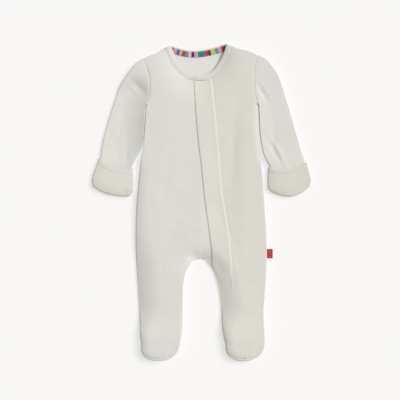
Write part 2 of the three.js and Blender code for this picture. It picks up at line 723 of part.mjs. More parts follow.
// Right front: from the neck to the right toe, and under the placket to its hidden edge.
function frontRight() {
  const side = "right";
  const cloth = new Cloth();
  const rows = torsoHeights(14);
  const sideX = (y) => valueAt(SIDE_SEAM, side, y);
  const leftPart = rows.map((y) => {
    const places = apexColumns(apexX(y) - sideX(y), y);
    return places.map((u, i) => {
      const atApex = y === CROTCH_Y && i === places.length - 1;
      return frontWall(lerp(sideX(y), apexX(y), u), y, { rim: i === 0 || atApex });
    });
  });
  const arch = innerLegFrom(0, shareAtHeight("left", CROTCH_SPLIT_Y));
  const underlap = (v) => {
    const y = lerp(UNDERARM_Y, CROTCH_SPLIT_Y, v);
    return [valueAt(UNDERLAP, "x", y), y];
  };
  const sides = {
    top: (u) => [lerp(apexX(UNDERARM_Y), underlap(0)[0], u), UNDERARM_Y],
    bottom: arch,
    start: (v) => [apexX(lerp(UNDERARM_Y, CROTCH_Y, v)), lerp(UNDERARM_Y, CROTCH_Y, v)],
    end: underlap,
  };
  const rightPart = rows.map((y) => {
    const v = (UNDERARM_Y - y) / (UNDERARM_Y - CROTCH_Y);
    return UNDERLAP_COLUMNS.map((u) => {
      const [px, py] = patchPoint(sides, u, v);
      return frontWall(px, py, { rim: v === 1 });
    });
  });
  const topRow = [...leftPart[0], ...rightPart[0].slice(1)];
  const startX = topRow[0].outer[0];
  const width = underlap(0)[0] - startX;
  const columns = topRow.map((place) => (place.outer[0] - startX) / width);
  const neck = onCurve([BAND_END[side], ...panelNeck(side), [UNDERLAP[0].x, UNDERLAP[0].y]]);
  const innerLine = (v) => {
    const y = lerp(UNDERLAP[0].y, UNDERARM_Y, v);
    return [valueAt(UNDERLAP, "x", y), y];
  };
  cloth.grid(yoke(side, neck, innerLine, columns));
  cloth.grid(leftPart);
  cloth.grid(rightPart);
  const { outerLine, innerLine: legInner } = legLines(side, 0, BALL_Y);
  cloth.grid(ruled(outerLine, legInner, legColumns, rimmedFront));
  cloth.grid(toeFront(side));
  return cloth.mesh("front_right", CLOTH_COLOUR);
}

// Left front: from the placket's stitched edge to the left side, and all of the left leg below
// the end of the placket.
function frontLeft() {
  const side = "left";
  const cloth = new Cloth();
  const seamX = (y) => valueAt(PLACKET, "sewn", y) + SEAM_GAP;
  const sideX = (y) => valueAt(SIDE_SEAM, side, y);
  const splitY = PLACKET_END - SEAM_GAP;
  const torsoColumns = (width) => fractions(width, [0], ROLL_STEPS, LEG_BETWEEN - 1);
  const torsoRows = heights(UNDERARM_Y, splitY, 20);
  const torso = ruled(
    torsoRows.map((y) => [seamX(y), y]),
    torsoRows.map((y) => [sideX(y), y]),
    torsoColumns,
    (x, y, { last }) => frontWall(x, y, { rim: last }),
  );
  cloth.grid(torso);
  const first = torso[0][0].outer[0];
  const width = torso[0].at(-1).outer[0] - first;
  const columns = torso[0].map((place) => (place.outer[0] - first) / width);
  const corner = [PLACKET[0].sewn + 0.6, PLACKET[0].y + PLACKET_CORNER_RISE - 0.2];
  const neck = onCurve([BAND_END[side], ...panelNeck(side), corner]);
  const innerLine = (v) => {
    const y = lerp(corner[1], UNDERARM_Y, v);
    return [lerp(corner[0], seamX(UNDERARM_Y), v), y];
  };
  cloth.grid(yoke(side, neck, innerLine, columns.map((u) => 1 - u).reverse()));
  const from = shareAtHeight(side, splitY);
  const { outerLine, innerLine: legInner } = legLines(side, from, BALL_Y);
  const legWidth = (row) => Math.abs(outerLine[row][0] - legInner[row][0]);
  const lastRow = outerLine.length - 1;
  const splitShare = legColumns(legWidth(lastRow))[ROLL_STEPS.length];
  const topShare = (seamX(splitY) - legInner[0][0]) / legWidth(0);
  const leg = legInner.map((start, row) => {
    const end = outerLine[row];
    const share = lerp(topShare, splitShare, smoothstep(row, 0, lastRow));
    const split = [lerp(start[0], end[0], share), lerp(start[1], end[1], share)];
    const nearColumns = (span) => [...ROLL_STEPS.map((step) => step / span), 1];
    const nearWall = (x, y, { first: rim }) => frontWall(x, y, { rim });
    const farWall = (x, y, { last: rim }) => frontWall(x, y, { rim });
    const near = ruled([start], [split], nearColumns, nearWall)[0];
    const far = ruled([split], [end], torsoColumns, farWall)[0];
    return [...near, ...far.slice(1)];
  });
  cloth.grid(leg);
  cloth.grid(toeFront(side).map((row) => row.reverse()));
  return cloth.mesh("front_left", CLOTH_COLOUR);
}

// Rise of the heel seam above its ends, u from the outer to the inner side of the leg.
function heelRise(u) {
  return HEEL_RISE * Math.sin(Math.PI * u);
}

function curledBack(x, y, { first, last }) {
  return backWall(x, y, { rim: first || last });
}

// Back neck seam of one half, from the shoulder to the middle of the back.
const BACK_MIDDLE_TOP = [0, BACK_NECK[5].seam[1] - SEAM_GAP];
function backNeck(side) {
  const seam = BACK_NECK.map((row) => row.seam);
  const half = side === "right" ? seam.slice(1, 5) : seam.slice(6, -1).reverse();
  return onCurve([BAND_END[side], ...half.map(([x, y]) => [x, y - SEAM_GAP]), BACK_MIDDLE_TOP]);
}

// Shares across half the back at its underarm, used all the way up to the neck.
function backColumns(side) {
  return flatColumns(Math.abs(valueAt(SIDE_SEAM, side, UNDERARM_Y)));
}

// Back: both halves from the back neck seam to the heels, joined along the middle.
function back() {
  const cloth = new Cloth();
  for (const side of ["right", "left"]) {
    const sideX = (y) => valueAt(SIDE_SEAM, side, y);
    const rows = [...heights(UNDERARM_Y, CROTCH_Y + 4, 9), CROTCH_Y + 1.2, CROTCH_Y];
    const torso = ruled(
      rows.map((y) => [sideX(y), y]),
      rows.map((y) => [0, y]),
      flatColumns,
      (x, y, { first, last }) => backWall(x, y, { rim: first || (last && y === CROTCH_Y) }),
    );
    cloth.grid(torso);
    const innerLine = (v) => [0, lerp(BACK_MIDDLE_TOP[1], UNDERARM_Y, v)];
    cloth.grid(yoke(side, backNeck(side), innerLine, backColumns(side), backWall));
    const { outerLine, innerLine: legInner } = legLines(side, 0, HEEL_Y);
    const last = outerLine.length - 1;
    const leg = ruled(outerLine, legInner, flatColumns, (x, y, { first, last: end, row, u }) => {
      return backWall(x, y + heelRise(u) * smoothstep(row, 0, last), { rim: first || end });
    });
    cloth.grid(leg);
  }
  return cloth.mesh("back", CLOTH_COLOUR);
}

// Sole: from the heel seam to the toe on the floor, then up round the toe to its seam.
function sole(side) {
  const cloth = new Cloth();
  const toInner = shareAtHeight(side, HEEL_Y);
  const { outerLine, innerLine } = legLines(side, toInner, BALL_Y, 4);
  const last = outerLine.length - 1;
  const heel = ruled(outerLine, innerLine, flatColumns, (x, y, { first, last: end, row, u }) => {
    const raised = (heelRise(u) - 2 * SEAM_GAP) * (1 - row / last);
    return backWall(x, y + raised, { rim: first || end });
  });
  cloth.grid(heel);
  const toe = toeLines(side, 0);
  cloth.grid(ruled(toe.outerLine, toe.innerLine, flatColumns, curledBack));
  const round = [...TOE_ROWS, ...TOE_ROWS.slice(0, -1).reverse().map((t) => 1 - t)];
  const lip = round.map((t) => {
    const start = toePoint(side, t);
    const end = toePoint(side, t, TOE_LIP);
    return LIP_COLUMNS.map((u, i) => {
      const [x, y] = [0, 1].map((axis) => lerp(start[axis], end[axis], u));
      const rim = i === 0 || t === 0 || t === 1;
      return frontWall(x, y, { rim, closed: true });
    });
  });
  cloth.grid(lip);
  return cloth.mesh(`sole_${side}`, CLOTH_COLOUR);
}

// Sleeve: a flattened tube, upper cloth and lower cloth sharing the points of both edges.
function sleeve(side) {
  const cloth = new Cloth();
  const rings = SLEEVE_RINGS[side];
  const ringRow = (ring, columnsOf, make) => {
    const [ax, ay] = ring.outer;
    const [bx, by] = ring.inner;
    const places = columnsOf(Math.hypot(bx - ax, by - ay));
    return places.map((u, i) => {
      const x = lerp(ax, bx, u) + ring.bow * 4 * u * (1 - u);
      const edge = ring === rings[0] ? armholeEdge(x, lerp(ay, by, u)) : undefined;
      return make(x, lerp(ay, by, u), { rim: i === 0 || i === places.length - 1, edge });
    });
  };
  cloth.grid(rings.map((ring) =>
    ringRow(ring, legColumns, (x, y, at) => frontWall(x, y, { ...at, closed: true, lift: ring.lift })),
  ));
  cloth.grid(rings.map((ring) =>
    ringRow(ring, flatColumns, (x, y, at) => backWall(x, y, { ...at, floor: ring.floor })),
  ));
  return cloth.mesh(`sleeve_${side}`, CLOTH_COLOUR);
}

// Mitten: a pouch round the end of the sleeve, open at its hem.
function mitt(side) {
  const cloth = new Cloth();
  const shape = MITT[side];
  const outline = MITT_OUTLINE[side];
  const sides = {
    top: onCurve(shape.hem),
    bottom: onCurve(shape.bottom),
    start: onCurve(shape.outerSide),
    end: onCurve(shape.innerSide),
  };
  const columns = fractions(MITT_WIDTH, ROLL_STEPS, ROLL_STEPS, LEG_BETWEEN);
  const rows = fractions(MITT_LENGTH, [0], ROLL_STEPS, 2);
  const grid = (make) => rows.map((v) =>
    columns.map((u) => {
      const [x, y] = patchPoint(sides, u, v);
      return make(x, y, u === 0 || u === 1 || v === 1);
    }),
  );
  cloth.grid(grid((x, y, rim) => frontWall(x, y, { rim, closed: true, outline, lift: MITT_LIFT })));
  cloth.grid(grid((x, y, rim) => backWall(x, y, { rim, outline })));
  return cloth.mesh(`mitt_${side}`, MITT_COLOUR);
}

// Neck binding of one front, a crowned strip from the shoulder to the placket.
function neckBandFront(side) {
  const cloth = new Cloth();
  const { edge, seam, rise } = NECK_FRONT[side];
  const edgeLine = onCurve(edge);
  const seamLine = onCurve(seam);
  const along = fractions(NECK_BAND_LENGTH, ROLL_STEPS, [0], 8);
  cloth.grid(along.map((t, row) =>
    BAND_CROWN.map(({ u, rise: crown }) => {
      const [x, y] = [0, 1].map((axis) => lerp(edgeLine(t)[axis], seamLine(t)[axis], u));
      const lifted = crown + rise * smoothstep(t, 0.5, 0.8);
      return frontWall(x, y, { rim: row === 0, rise: lifted, thickness: DOUBLED_CLOTH });
    }),
  ));
  return cloth.mesh(`neck_band_front_${side}`, BAND_COLOUR);
}

// Back neck binding: its seam side follows the points of the back's own neck edge.
function neckBandBack() {
  const cloth = new Cloth();
  const rightHalf = backColumns("right").map((u) => backNeck("right")(u));
  const leftHalf = backColumns("left").map((u) => backNeck("left")(u)).reverse();
  const seam = [...rightHalf, ...leftHalf.slice(1)];
  const edge = onCurve(BACK_NECK.map((row) => row.edge));
  const lengths = [0];
  seam.slice(1).forEach(([x, y], i) => {
    lengths.push(lengths[i] + Math.hypot(x - seam[i][0], y - seam[i][1]));
  });
  const last = seam.length - 1;
  cloth.grid(seam.map(([seamX, seamY], row) => {
    const [edgeX, edgeY] = edge(lengths[row] / lengths[last]);
    return [0, 0.5, 1].map((u) => {
      const y = lerp(edgeY, seamY + 2 * SEAM_GAP, u);
      const rim = row === 0 || row === last;
      return backWall(lerp(edgeX, seamX, u), y, { rim, thickness: DOUBLED_CLOTH });
    });
  }));
  return cloth.mesh("neck_band_back", BAND_COLOUR);
}

// Place on the way from the back neck edge to its seam and past it, at a width below the edge.
function belowBackNeck({ edge, seam }, below) {
  const share = below / Math.hypot(seam[0] - edge[0], seam[1] - edge[1]);
  return [0, 1].map((axis) => lerp(edge[axis], seam[axis], share));
}

// Tape over the back neck seam. It rests on the band above and on the back below.
function neckTape() {
  const cloth = new Cloth();
  const bandTop = DOUBLED_CLOTH + TAPE_GAP + TAPE_CLOTH;
  const backTop = CLOTH + TAPE_GAP + TAPE_CLOTH;
  const across = [
    { u: 0, z: bandTop },
    { u: 0.6, z: bandTop },
    { u: 1, z: backTop },
  ];
  cloth.grid(BACK_NECK.slice(1, -1).map((place) =>
    across.map(({ u, z }) => {
      const [x, y] = belowBackNeck(place, TAPE_BELOW_EDGE + u * TAPE_WIDTH);
      return wall(x, y, z, [0, 0, 1], 0, TAPE_CLOTH);
    }),
  ));
  return cloth.mesh("neck_tape", TAPE_COLOUR);
}

// Placket: over the right front's hidden edge on one side, sewn to the left front on the other.
function placket() {
  const cloth = new Cloth();
  const rows = [
    ...heights(PLACKET[0].y, -84, 20), -95, -104, -111, -116, PLACKET_RIM_Y,
    -126, -133, -140, -147, PLACKET_END,
  ];
  cloth.grid(rows.map((y) => {
    const onRim = y <= PLACKET_RIM_Y;
    const free = onRim ? innerLegFrom(shareAtHeight("left", y), 1)(0)[0] : valueAt(PLACKET, "free", y);
    const sewn = valueAt(PLACKET, "sewn", y);
    const fade = smoothstep(y, PLACKET[0].y - 30, PLACKET[0].y);
    return PLACKET_RISE.map(({ u, rise }, i) => {
      const raised = PLACKET_CORNER_RISE * u ** 5 * fade;
      const rim = onRim && i === 0;
      return frontWall(lerp(free, sewn, u), y + raised, { rim, rise, thickness: DOUBLED_CLOTH });
    });
  }));
  return cloth.mesh("placket", CLOTH_COLOUR);
}

// Side tab: a strip folded over on itself, standing out from the left side seam.
function sideTab() {
  const { y, width, reach, layer, slit, floor } = TAB;
  const radius = layer + slit / 2;
  const fold = reach - radius;
  const profile = new THREE.Shape();
  profile.moveTo(0, 0);
  profile.lineTo(fold, 0);
  profile.absarc(fold, radius, radius, -Math.PI / 2, Math.PI / 2, false);
  profile.lineTo(0, 2 * radius);
  profile.lineTo(0, 2 * radius - layer);
  profile.lineTo(fold, 2 * radius - layer);
  profile.absarc(fold, radius, slit / 2, Math.PI / 2, -Math.PI / 2, true);
  profile.lineTo(0, layer);
  profile.closePath();
  const solid = new THREE.ExtrudeGeometry(profile, { depth: width, bevelEnabled: false, curveSegments: 6 });
  solid.rotateX(Math.PI / 2);
  const material = new THREE.MeshStandardMaterial({ color: TAB_COLOUR, roughness: 0.7, metalness: 0 });
  const mesh = new THREE.Mesh(solid, material);
  mesh.name = "side_tab";
  mesh.position.set(valueAt(SIDE_SEAM, "left", y) + TAB.clearance, y + width / 2, floor);
  return mesh;
}

const group = new THREE.Group();
group.add(
  back(), frontRight(), frontLeft(), placket(),
  sleeve("right"), sleeve("left"), mitt("right"), mitt("left"),
  neckBandFront("right"), neckBandFront("left"), neckBandBack(), neckTape(),
  sole("right"), sole("left"), sideTab(),
);

// The origin is on the floor under the middle of the laid suit.
const extent = new THREE.Box3().setFromObject(group);
const middle = extent.getCenter(new THREE.Vector3());
group.position.set(-middle.x, -middle.y, 0);

export default group;
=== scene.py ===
import math

import bpy
import numpy as np
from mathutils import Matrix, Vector
from mathutils.geometry import delaunay_2d_cdt


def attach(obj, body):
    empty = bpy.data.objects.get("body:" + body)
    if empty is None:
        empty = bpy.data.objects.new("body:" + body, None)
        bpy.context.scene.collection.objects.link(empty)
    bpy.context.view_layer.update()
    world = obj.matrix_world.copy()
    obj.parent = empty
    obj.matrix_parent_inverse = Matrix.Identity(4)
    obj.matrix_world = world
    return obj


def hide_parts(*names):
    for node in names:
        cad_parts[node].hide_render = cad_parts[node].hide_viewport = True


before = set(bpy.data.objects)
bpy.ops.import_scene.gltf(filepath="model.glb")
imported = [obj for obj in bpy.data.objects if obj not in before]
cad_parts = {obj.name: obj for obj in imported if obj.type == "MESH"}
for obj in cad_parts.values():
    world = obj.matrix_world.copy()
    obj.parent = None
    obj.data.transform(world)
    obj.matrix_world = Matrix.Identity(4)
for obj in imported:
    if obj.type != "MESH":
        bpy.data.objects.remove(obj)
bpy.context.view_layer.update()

MM = 0.001
SHIFT = (-1.536, -0.305)

# Cloth, and how the laid suit stands up from the floor.
CLOTH = 1.5
DOUBLED_CLOTH = 2.2
TAPE_CLOTH = 0.8
SEAM_GAP = 0.08
SEAM_HEIGHT = 4
BACK_CURL = 4
PLATEAU = 15.6
RIM_ROLL = 3.6
ROLL_POWER = 2.8
EDGE_DROP = 0.12
EDGE_LEAN = 0.16
TORSO_SAG = 2
SAG_FROM = 36
SAG_TO = 96
FOOT_PUFF = 5.5
FOOT_PUFF_FROM = 196
FOOT_PUFF_TO = 246
NECK_DIP = 9.5
NECK_CENTRE = (-4, 256)
NECK_RADIUS = 30
NECK_DIP_REACH = 26
MITT_LIFT = -1.6
TOE_LIP = 5
HEEL_Y = -238
HEEL_RISE = 22
TAPE_WIDTH = 10
TAPE_BELOW_EDGE = 2.4
LOOK_SHIFT = (-0.9, 4.5)

# Places closer than this to an outline count as lying on it.
ON_EDGE = 0.6

# The laid cloth slopes down further towards this side than towards the other.
LOW_SIDE = (-0.82, -0.57)

# How far the slope of an edge reaches into the cloth, and how steep it is: y, reach and share.
EDGE_SLOPES = np.array([
    (300, 20, 0.7), (100, 20, 0.7), (0, 22, 0.7), (-60, 28, 0.8), (-120, 42, 1), (-190, 44, 1),
    (-214, 30, 1), (-230, 17, 1.3), (-244, 16, 1.2), (-300, 16, 1),
])

# Where sleeve and torso press together: middle, and how much higher their edges stand there.
# The torso's left edge is tucked under the sleeve.
ARMPIT = [(-101, 130, 4), (105, 140, 8)]
ARMPIT_CORE = 48
ARMPIT_EDGE_REACH = 65.6
ARMPIT_REACH = 82
TUCK = 3
TUCK_REACH = 10
TUCK_FACING = (0.2, 0.8)

# Rims that face left roll over a shorter way: how far they face left, and the share of the way.
CRISP_FACING = (0, 0.7)
CRISP_ROLL = 0.3

# How far in from a rim fine relief and raised strips fade in.
FINE_FADE = 7
RISE_FADE = 6

# How much lower the flat of a sleeve lies than the torso, how far from the torso it rises, its
# slope beyond that, and where it evens out towards the shoulder and under the mitten. The torso
# counts down to CUFF_Y, and the first ring is set a little into the armhole.
SLEEVE_LOW = {"right": 10, "left": 2.4}
SLEEVE_RISE = 42
SLEEVE_BRIM = {"right": 0.11, "left": 0}
SLEEVE_CAP = (-240, -190)
CUFF = (62, 104)
CUFF_SHARE = 0.45
CUFF_Y = 80
ARMHOLE_INSET = 0.25

# Fineness of the meshes: steps over a panel and along its edges, distances of rows of points from
# an edge, from a rolled rim and from a plain one, and rows or steps of the single pieces.
POINT_STEP = 2.4
OUTLINE_STEP = 2.0
SAME_PLACE = 0.25
EDGE_ROWS = [0.3, 0.8, 1.5, 2.5, 3.8, 5.4, 7.4, 9.8]
ROLL_STEPS = [0, 0.2, 0.6, 1.2, 2.1, 3.3, 4.8, 6.6, 8.8, 11.4]
PLAIN_STEPS = [0, 0.4, 1.2, 2.6]
SLEEVE_ROWS = 110
SLEEVE_WIDTH = 60
MITT_STEP = 1.8
BAND_STEP = 1.4

# Side seams from the underarm to the ball of the foot: y, right x, left x.
SIDE_SEAM = np.array([
    (176, -96.8, 103.2), (155, -98.6, 103.8), (122, -100.6, 104.6), (94, -103.4, 107.4),
    (67, -108.6, 109.6), (40, -111.6, 112), (4, -115, 114.6), (-40, -117, 117.6),
    (-80, -117, 119.4), (-122, -115, 118.4), (-158, -112.6, 116.4), (-200, -110.4, 113.6),
    (-236, -109.4, 115.4), (-257, -107, 115.2),
])

# Inner edges of the legs from the crotch to the ball of the foot: y, right x, left x.
INNER_LEG = np.array([
    (-101.5, 0, 0), (-104, -12, 9), (-113, -19.6, 16), (-122, -25, 22.2), (-134, -28.8, 27),
    (-149, -31, 31.4), (-170, -31.8, 35), (-200, -32, 37.4), (-230, -32.8, 39), (-257, -37.4, 44.6),
])
COLUMN = {"right": 1, "left": 2}

# Rounded toes: tip x, tip y and the power of the superellipse.
TOE = {"right": (-77, -285, 2.2), "left": (76, -285.5, 2.05)}

SHOULDER = {
    "right": [(-54, 283), (-63, 279.4), (-72, 272.8), (-81, 268), (-92, 264.2), (-104, 259)],
    "left": [(47, 286), (56, 282), (65, 278.4), (76, 275.6), (90, 271.4), (102, 265.6)],
}
BAND_END = {"right": (-64, 278.8), "left": (57, 281.6)}

# Armholes: top, underarm and how far the line between them bows along x.
ARMHOLE = {
    "right": ((-104, 259), (-96.8, 176), 9),
    "left": ((102, 265.6), (103.2, 176), -6.5),
}

# Sleeve rings: outer x and y, inner x and y, bow, height of the lower cloth, lift of the upper.
SLEEVE_RINGS = {
    "right": np.array([
        (-104.3, 259.2, -97.3, 175.6, 9, 0, 0), (-118, 249, -98, 174, 5, 0, 0),
        (-130, 234.5, -98.6, 171.4, 2, 0, 0), (-139.4, 221, -99.2, 167, 0.5, 0, 0),
        (-146.6, 208, -99.2, 160, 0, 0, 0), (-152, 193, -99.6, 150, 0, 0, 0),
        (-156.4, 179, -100.3, 139, 0, 0, -0.3), (-161, 165, -101.1, 126, 0, 0, -0.6),
        (-166.4, 147, -103, 111, 0, 0, -1), (-172, 127, -108, 95, 0, 0, -1.4),
        (-177, 107, -115.6, 80.6, 0, 0, -1.8), (-179.4, 93, -120.4, 71, 0, 0.9, -2.3),
        (-180.6, 82.4, -123.6, 63, 0, 1.8, -2.7), (-183.6, 70, -124.4, 50, 0, 1.8, -2.8),
    ]),
    "left": np.array([
        (102.3, 265.8, 103.8, 175.6, -6.5, 0, 0), (117, 258.5, 104.2, 174, -4, 0, 0),
        (129, 245, 104.4, 171.4, -2, 0, 0), (138.6, 231, 104.7, 167, -0.5, 0, 0),
        (145, 215.6, 105, 160, 0, 0, 0), (149, 203, 105.4, 150, 0, 0, 0),
        (153, 191, 105.8, 139, 0, 0, -0.3), (158, 175, 106.8, 125, 0, 0, -0.6),
        (164, 154, 108.8, 110, 0, 0, -1), (170.6, 131, 111.8, 95, 0, 0, -1.4),
        (177, 108, 115.6, 81, 0, 0, -1.8), (182.4, 91, 120.4, 71.4, 0, 0.9, -2.3),
        (185.8, 80, 123.6, 64.4, 0, 1.8, -2.7), (189.6, 64, 124.4, 52, 0, 1.8, -2.8),
    ]),
}

MITT = {
    "right": {
        "hem": [(-183.6, 79), (-173, 72.2), (-159, 65.4), (-144, 61), (-131, 59.8), (-121.6, 62)],
        "outer": [(-183.6, 79), (-187.4, 67), (-191.4, 57), (-194.4, 48), (-196, 38), (-194, 29)],
        "inner": [(-121.6, 62), (-121, 48), (-120.6, 34), (-121.4, 18)],
        "bottom": [(-194, 29), (-186, 22.6), (-166, 14.4), (-146, 11.2), (-129, 11), (-121.4, 18)],
    },
    "left": {
        "hem": [
            (191, 72), (180, 65.6), (168, 62.8), (155, 61.2), (144, 60.2), (137.5, 59.6), (130, 60.8),
            (121.4, 63),
        ],
        "outer": [(191, 72), (194, 60), (197, 49), (199, 39), (196, 28)],
        "inner": [(121.4, 63), (120.6, 48), (120.6, 34), (121.6, 23)],
        "bottom": [(196, 28), (183, 17.6), (162, 10.4), (142, 12.6), (129, 18), (121.6, 23)],
    },
}

# Mitten sizes. The hem's swell and its stitched groove: height, distance from the fold and reach.
MITT_WIDTH = 72
MITT_LENGTH = 46
HEM_SWELL = (0.5, 5, 3.4)
HEM_GROOVE = (0.2, 10, 1.2)

# Neck: free edge and seam of each binding from the shoulder towards the placket, and its lift.
BAND_LENGTH = 76
NECK_FRONT = {
    "right": (
        [
            (-54, 282.6), (-48.6, 271), (-43.6, 261), (-35, 247.4), (-25.7, 237.8), (-16.6, 231),
            (-10.2, 228.6),
        ],
        [(-63.6, 279), (-60, 268), (-55, 256), (-48, 245), (-39.6, 235.6), (-28, 225.4), (-10.5, 219.8)],
        0,
    ),
    "left": (
        [(47, 285.6), (44.6, 276), (40.6, 265.6), (32, 249.6), (22.5, 238), (9, 231), (-9.6, 228.8)],
        [(56.6, 281.8), (53.4, 270), (47.4, 259), (38.6, 245), (27.6, 231), (16, 222), (-10, 219.8)],
        0.3,
    ),
}
BACK_NECK_EDGE = [
    (-54, 282.8), (-50, 281.9), (-45, 280.6), (-36, 277.8), (-20, 274.6), (0, 275), (18, 278.2),
    (29, 281.2), (38, 284.2), (44, 285.6), (47, 286),
]
BACK_NECK_SEAM = [
    (-63.4, 279.2), (-55.4, 273.8), (-48.6, 271.6), (-38.6, 268.8), (-21, 265.6), (0, 266), (19.8, 269.3),
    (31.4, 272.4), (41.4, 275.4), (49.4, 277.8), (56.4, 281.9),
]

# Placket: y, free edge x, stitched edge x. Underlap: y and the right front's hidden edge.
PLACKET = np.array([
    (219.4, -12, 21), (172, -9.4, 26.5), (117, -5, 32), (61.6, 1.6, 36.4), (6.5, 7.2, 41.8),
    (-50, 15, 51.4), (-95, 20.4, 56.2), (-120, 21.4, 57.6), (-154, 32.2, 58.6),
])
UNDERLAP = np.array([
    (219.2, -1), (117, 6), (6.5, 18), (-50, 25.4), (-84, 25.6), (-104, 20.4), (-119.8, 20.7),
])
CROTCH_SPLIT_Y = -119.8
PLACKET_RIM_Y = -120.6
PLACKET_END = -154
SPLIT_GAP = 0.02
PLACKET_CORNER_RISE = 5.4
PLACKET_CORNER_REACH = 30

# How far above its end the placket starts to stand up and is at its full height, and how far the
# placket and the bindings stand up at shares of their width.
PLACKET_FADE = (3, 34)
PLACKET_RISE = [
    (0, 0.7), (0.03, 1.5), (0.06, 1.7), (0.12, 1.6), (0.3, 1.5), (0.78, 1.2), (0.88, 1.4), (0.95, 0.8),
    (1, 0.1),
]
BAND_CROWN = [(0, 0.2), (0.15, 0.6), (0.5, 0.9), (0.8, 0.5), (1, 0.02)]

# Main creases: middle x and y, direction in degrees, length, width and height.
CREASES = [
    (-112, 208, -40, 40, 16, -2.4), (-133, 82, -80, 30, 10, -0.8), (-150, 118, -72, 50, 12, 0.5),
    (112, 196, -60, 30, 8, -2), (133, 92, -58, 42, 7, -1.8), (144, 84, -65, 44, 9, 1.2),
    (60, 100, 88, 120, 18, -1.3), (-58, 60, 80, 130, 22, -0.5), (-29, -105, 48, 36, 13, 2),
    (92, -238, 20, 30, 9, -1), (131, 112, 88, 46, 12, -1),
]

# Small creases that only the looks have, in the same columns.
FINE_CREASES = [
    (52, -140, 72, 16, 3, -0.7), (57, -146, 80, 18, 3, 0.6), (62, -143, 84, 15, 3, -0.6),
    (104, -262, 60, 14, 3.4, -0.9), (110, -256, 48, 14, 3, 0.7), (99, -268, 74, 12, 3, -0.7),
    (-124, 198, -52, 30, 9, -0.4), (128, 110, -50, 24, 4, 0.7),
    (20, -84, 60, 18, 4, -0.5), (-16, -96, 30, 20, 5, -0.6),
]

# Broad hollows and swells of the laid cloth.
SLOPES = [
    (47, 70, 86, 300, 52, -2), (-30, -104, 35, 50, 22, -1.6), (30, -112, -52, 44, 20, -1.6),
    (-4, -101, 0, 40, 18, -2.6),
]

# Plain stripes of the neck tape from its right end: width and dye.
STRIPES = [
    (5, "green"), (7, "rose"), (6, "blue"), (4, "yellow"), (7, "red"), (5, "teal"), (6, "pale pink"),
    (5, "navy"), (7, "rose"), (8, "green"), (4, "blue"), (7, "red"), (5, "navy"), (8, "yellow"),
    (6, "teal"), (7, "rose"), (5, "red"), (6, "blue"),
]

# Dyes of the stripes from 0 to 255, and the colour that an effect has before it is given one.
DYES = {
    "red": (208, 44, 54), "navy": (52, 48, 104), "rose": (222, 150, 178), "yellow": (212, 198, 88),
    "green": (20, 136, 100), "teal": (66, 158, 172), "blue": (32, 122, 188),
    "pale pink": (238, 184, 198),
}
PLAIN = (0.8, 0.8, 0.8, 1)

# Finish of the knit and of the woven ribbons, with the height of their relief in metres.
KNIT_FINISH = {"Sheen Weight": 0.25, "Sheen Roughness": 0.5, "Specular IOR Level": 0.2}
KNIT_RELIEF = 0.0003
RIBBON_FINISH = {"Roughness": 0.7, "Specular IOR Level": 0.3}
RIBBON_RELIEF = 0.0001

# Stitches in millimetres, and how far their middles lie above the cloth.
STITCH = {"Stitch length": 2.3, "Gap": 0.6, "Thread radius": 0.15}
STITCH_HEIGHT = 0.03

# Uneven waves all over the cloth: height, size and seed.
WAVES = [(0.3, 70, 3), (0.1, 24, 8)]
TAPE_WAVES = (0.08, 12, 5)

# Folded tab: y, width, reach out of the seam, layer, floor, clearance, fold radius.
TAB = (-92.2, 16.8, 10.6, 1, 2.2, 0.4, 0.7)


def smooth_step(value, low, high):
    t = np.clip((value - low) / (high - low), 0, 1)
    return t * t * (3 - 2 * t)


def mix(a, b, t):
    return a + (b - a) * t


class Curve:
    """Centripetal Catmull-Rom line through plan points."""

    def __init__(self, points):
        places = np.array(points, float)
        first = 2 * places[0] - places[1]
        last = 2 * places[-1] - places[-2]
        padded = np.vstack([first, places, last])
        t = np.linspace(0, 1, 40, endpoint=False)[:, None]
        spans = []
        for i in range(1, len(padded) - 2):
            p0, p1, p2, p3 = padded[i - 1:i + 3]
            d0, d1, d2 = (math.sqrt(math.dist(a, b)) for a, b in ((p0, p1), (p1, p2), (p2, p3)))
            m1 = ((p1 - p0) / d0 - (p2 - p0) / (d0 + d1) + (p2 - p1) / d1) * d1
            m2 = ((p2 - p1) / d1 - (p3 - p1) / (d1 + d2) + (p3 - p2) / d2) * d1
            spans.append(
                (2 * t ** 3 - 3 * t ** 2 + 1) * p1 + (t ** 3 - 2 * t ** 2 + t) * m1
                + (3 * t ** 2 - 2 * t ** 3) * p2 + (t ** 3 - t ** 2) * m2
            )
        self.line = np.vstack([*spans, places[-1:]])
        self.knots = np.linspace(0, len(places) - 1, len(self.line))
        lengths = np.hypot(*np.diff(self.line, axis=0).T)
        self.shares = np.concatenate([[0], np.cumsum(lengths)])
        self.length = self.shares[-1]
        self.shares /= self.length

    def at(self, t):
        """Places at shares of the whole length."""
        return np.column_stack([np.interp(t, self.shares, self.line[:, k]) for k in (0, 1)])

    def at_knot(self, t):
        """Places counted by the points that the line goes through."""
        return np.column_stack([np.interp(t, self.knots, self.line[:, k]) for k in (0, 1)])

    def even(self, step=OUTLINE_STEP):
        return self.at(np.linspace(0, 1, max(2, math.ceil(self.length / step)) + 1))


def value_at(table, column, y):
    """A table's column at heights y, along a smooth curve through its rows."""
    y = np.atleast_1d(np.asarray(y, float))
    ys = table[:, 0]
    values = table[:, column]
    last = len(table) - 1
    i = np.clip(np.searchsorted(-ys, -y, side="right") - 1, 0, last - 1)
    before = np.maximum(i - 1, 0)
    after = np.minimum(i + 2, last)
    slope_a = (values[i + 1] - values[before]) / (ys[i + 1] - ys[before])
    slope_b = (values[after] - values[i]) / (ys[after] - ys[i])
    span = ys[i + 1] - ys[i]
    t = np.clip((y - ys[i]) / span, 0, 1)
    level = mix(values[i], values[i + 1], t * t * (3 - 2 * t))
    return level + span * slope_a * t * (1 - t) ** 2 + span * slope_b * t * t * (t - 1)


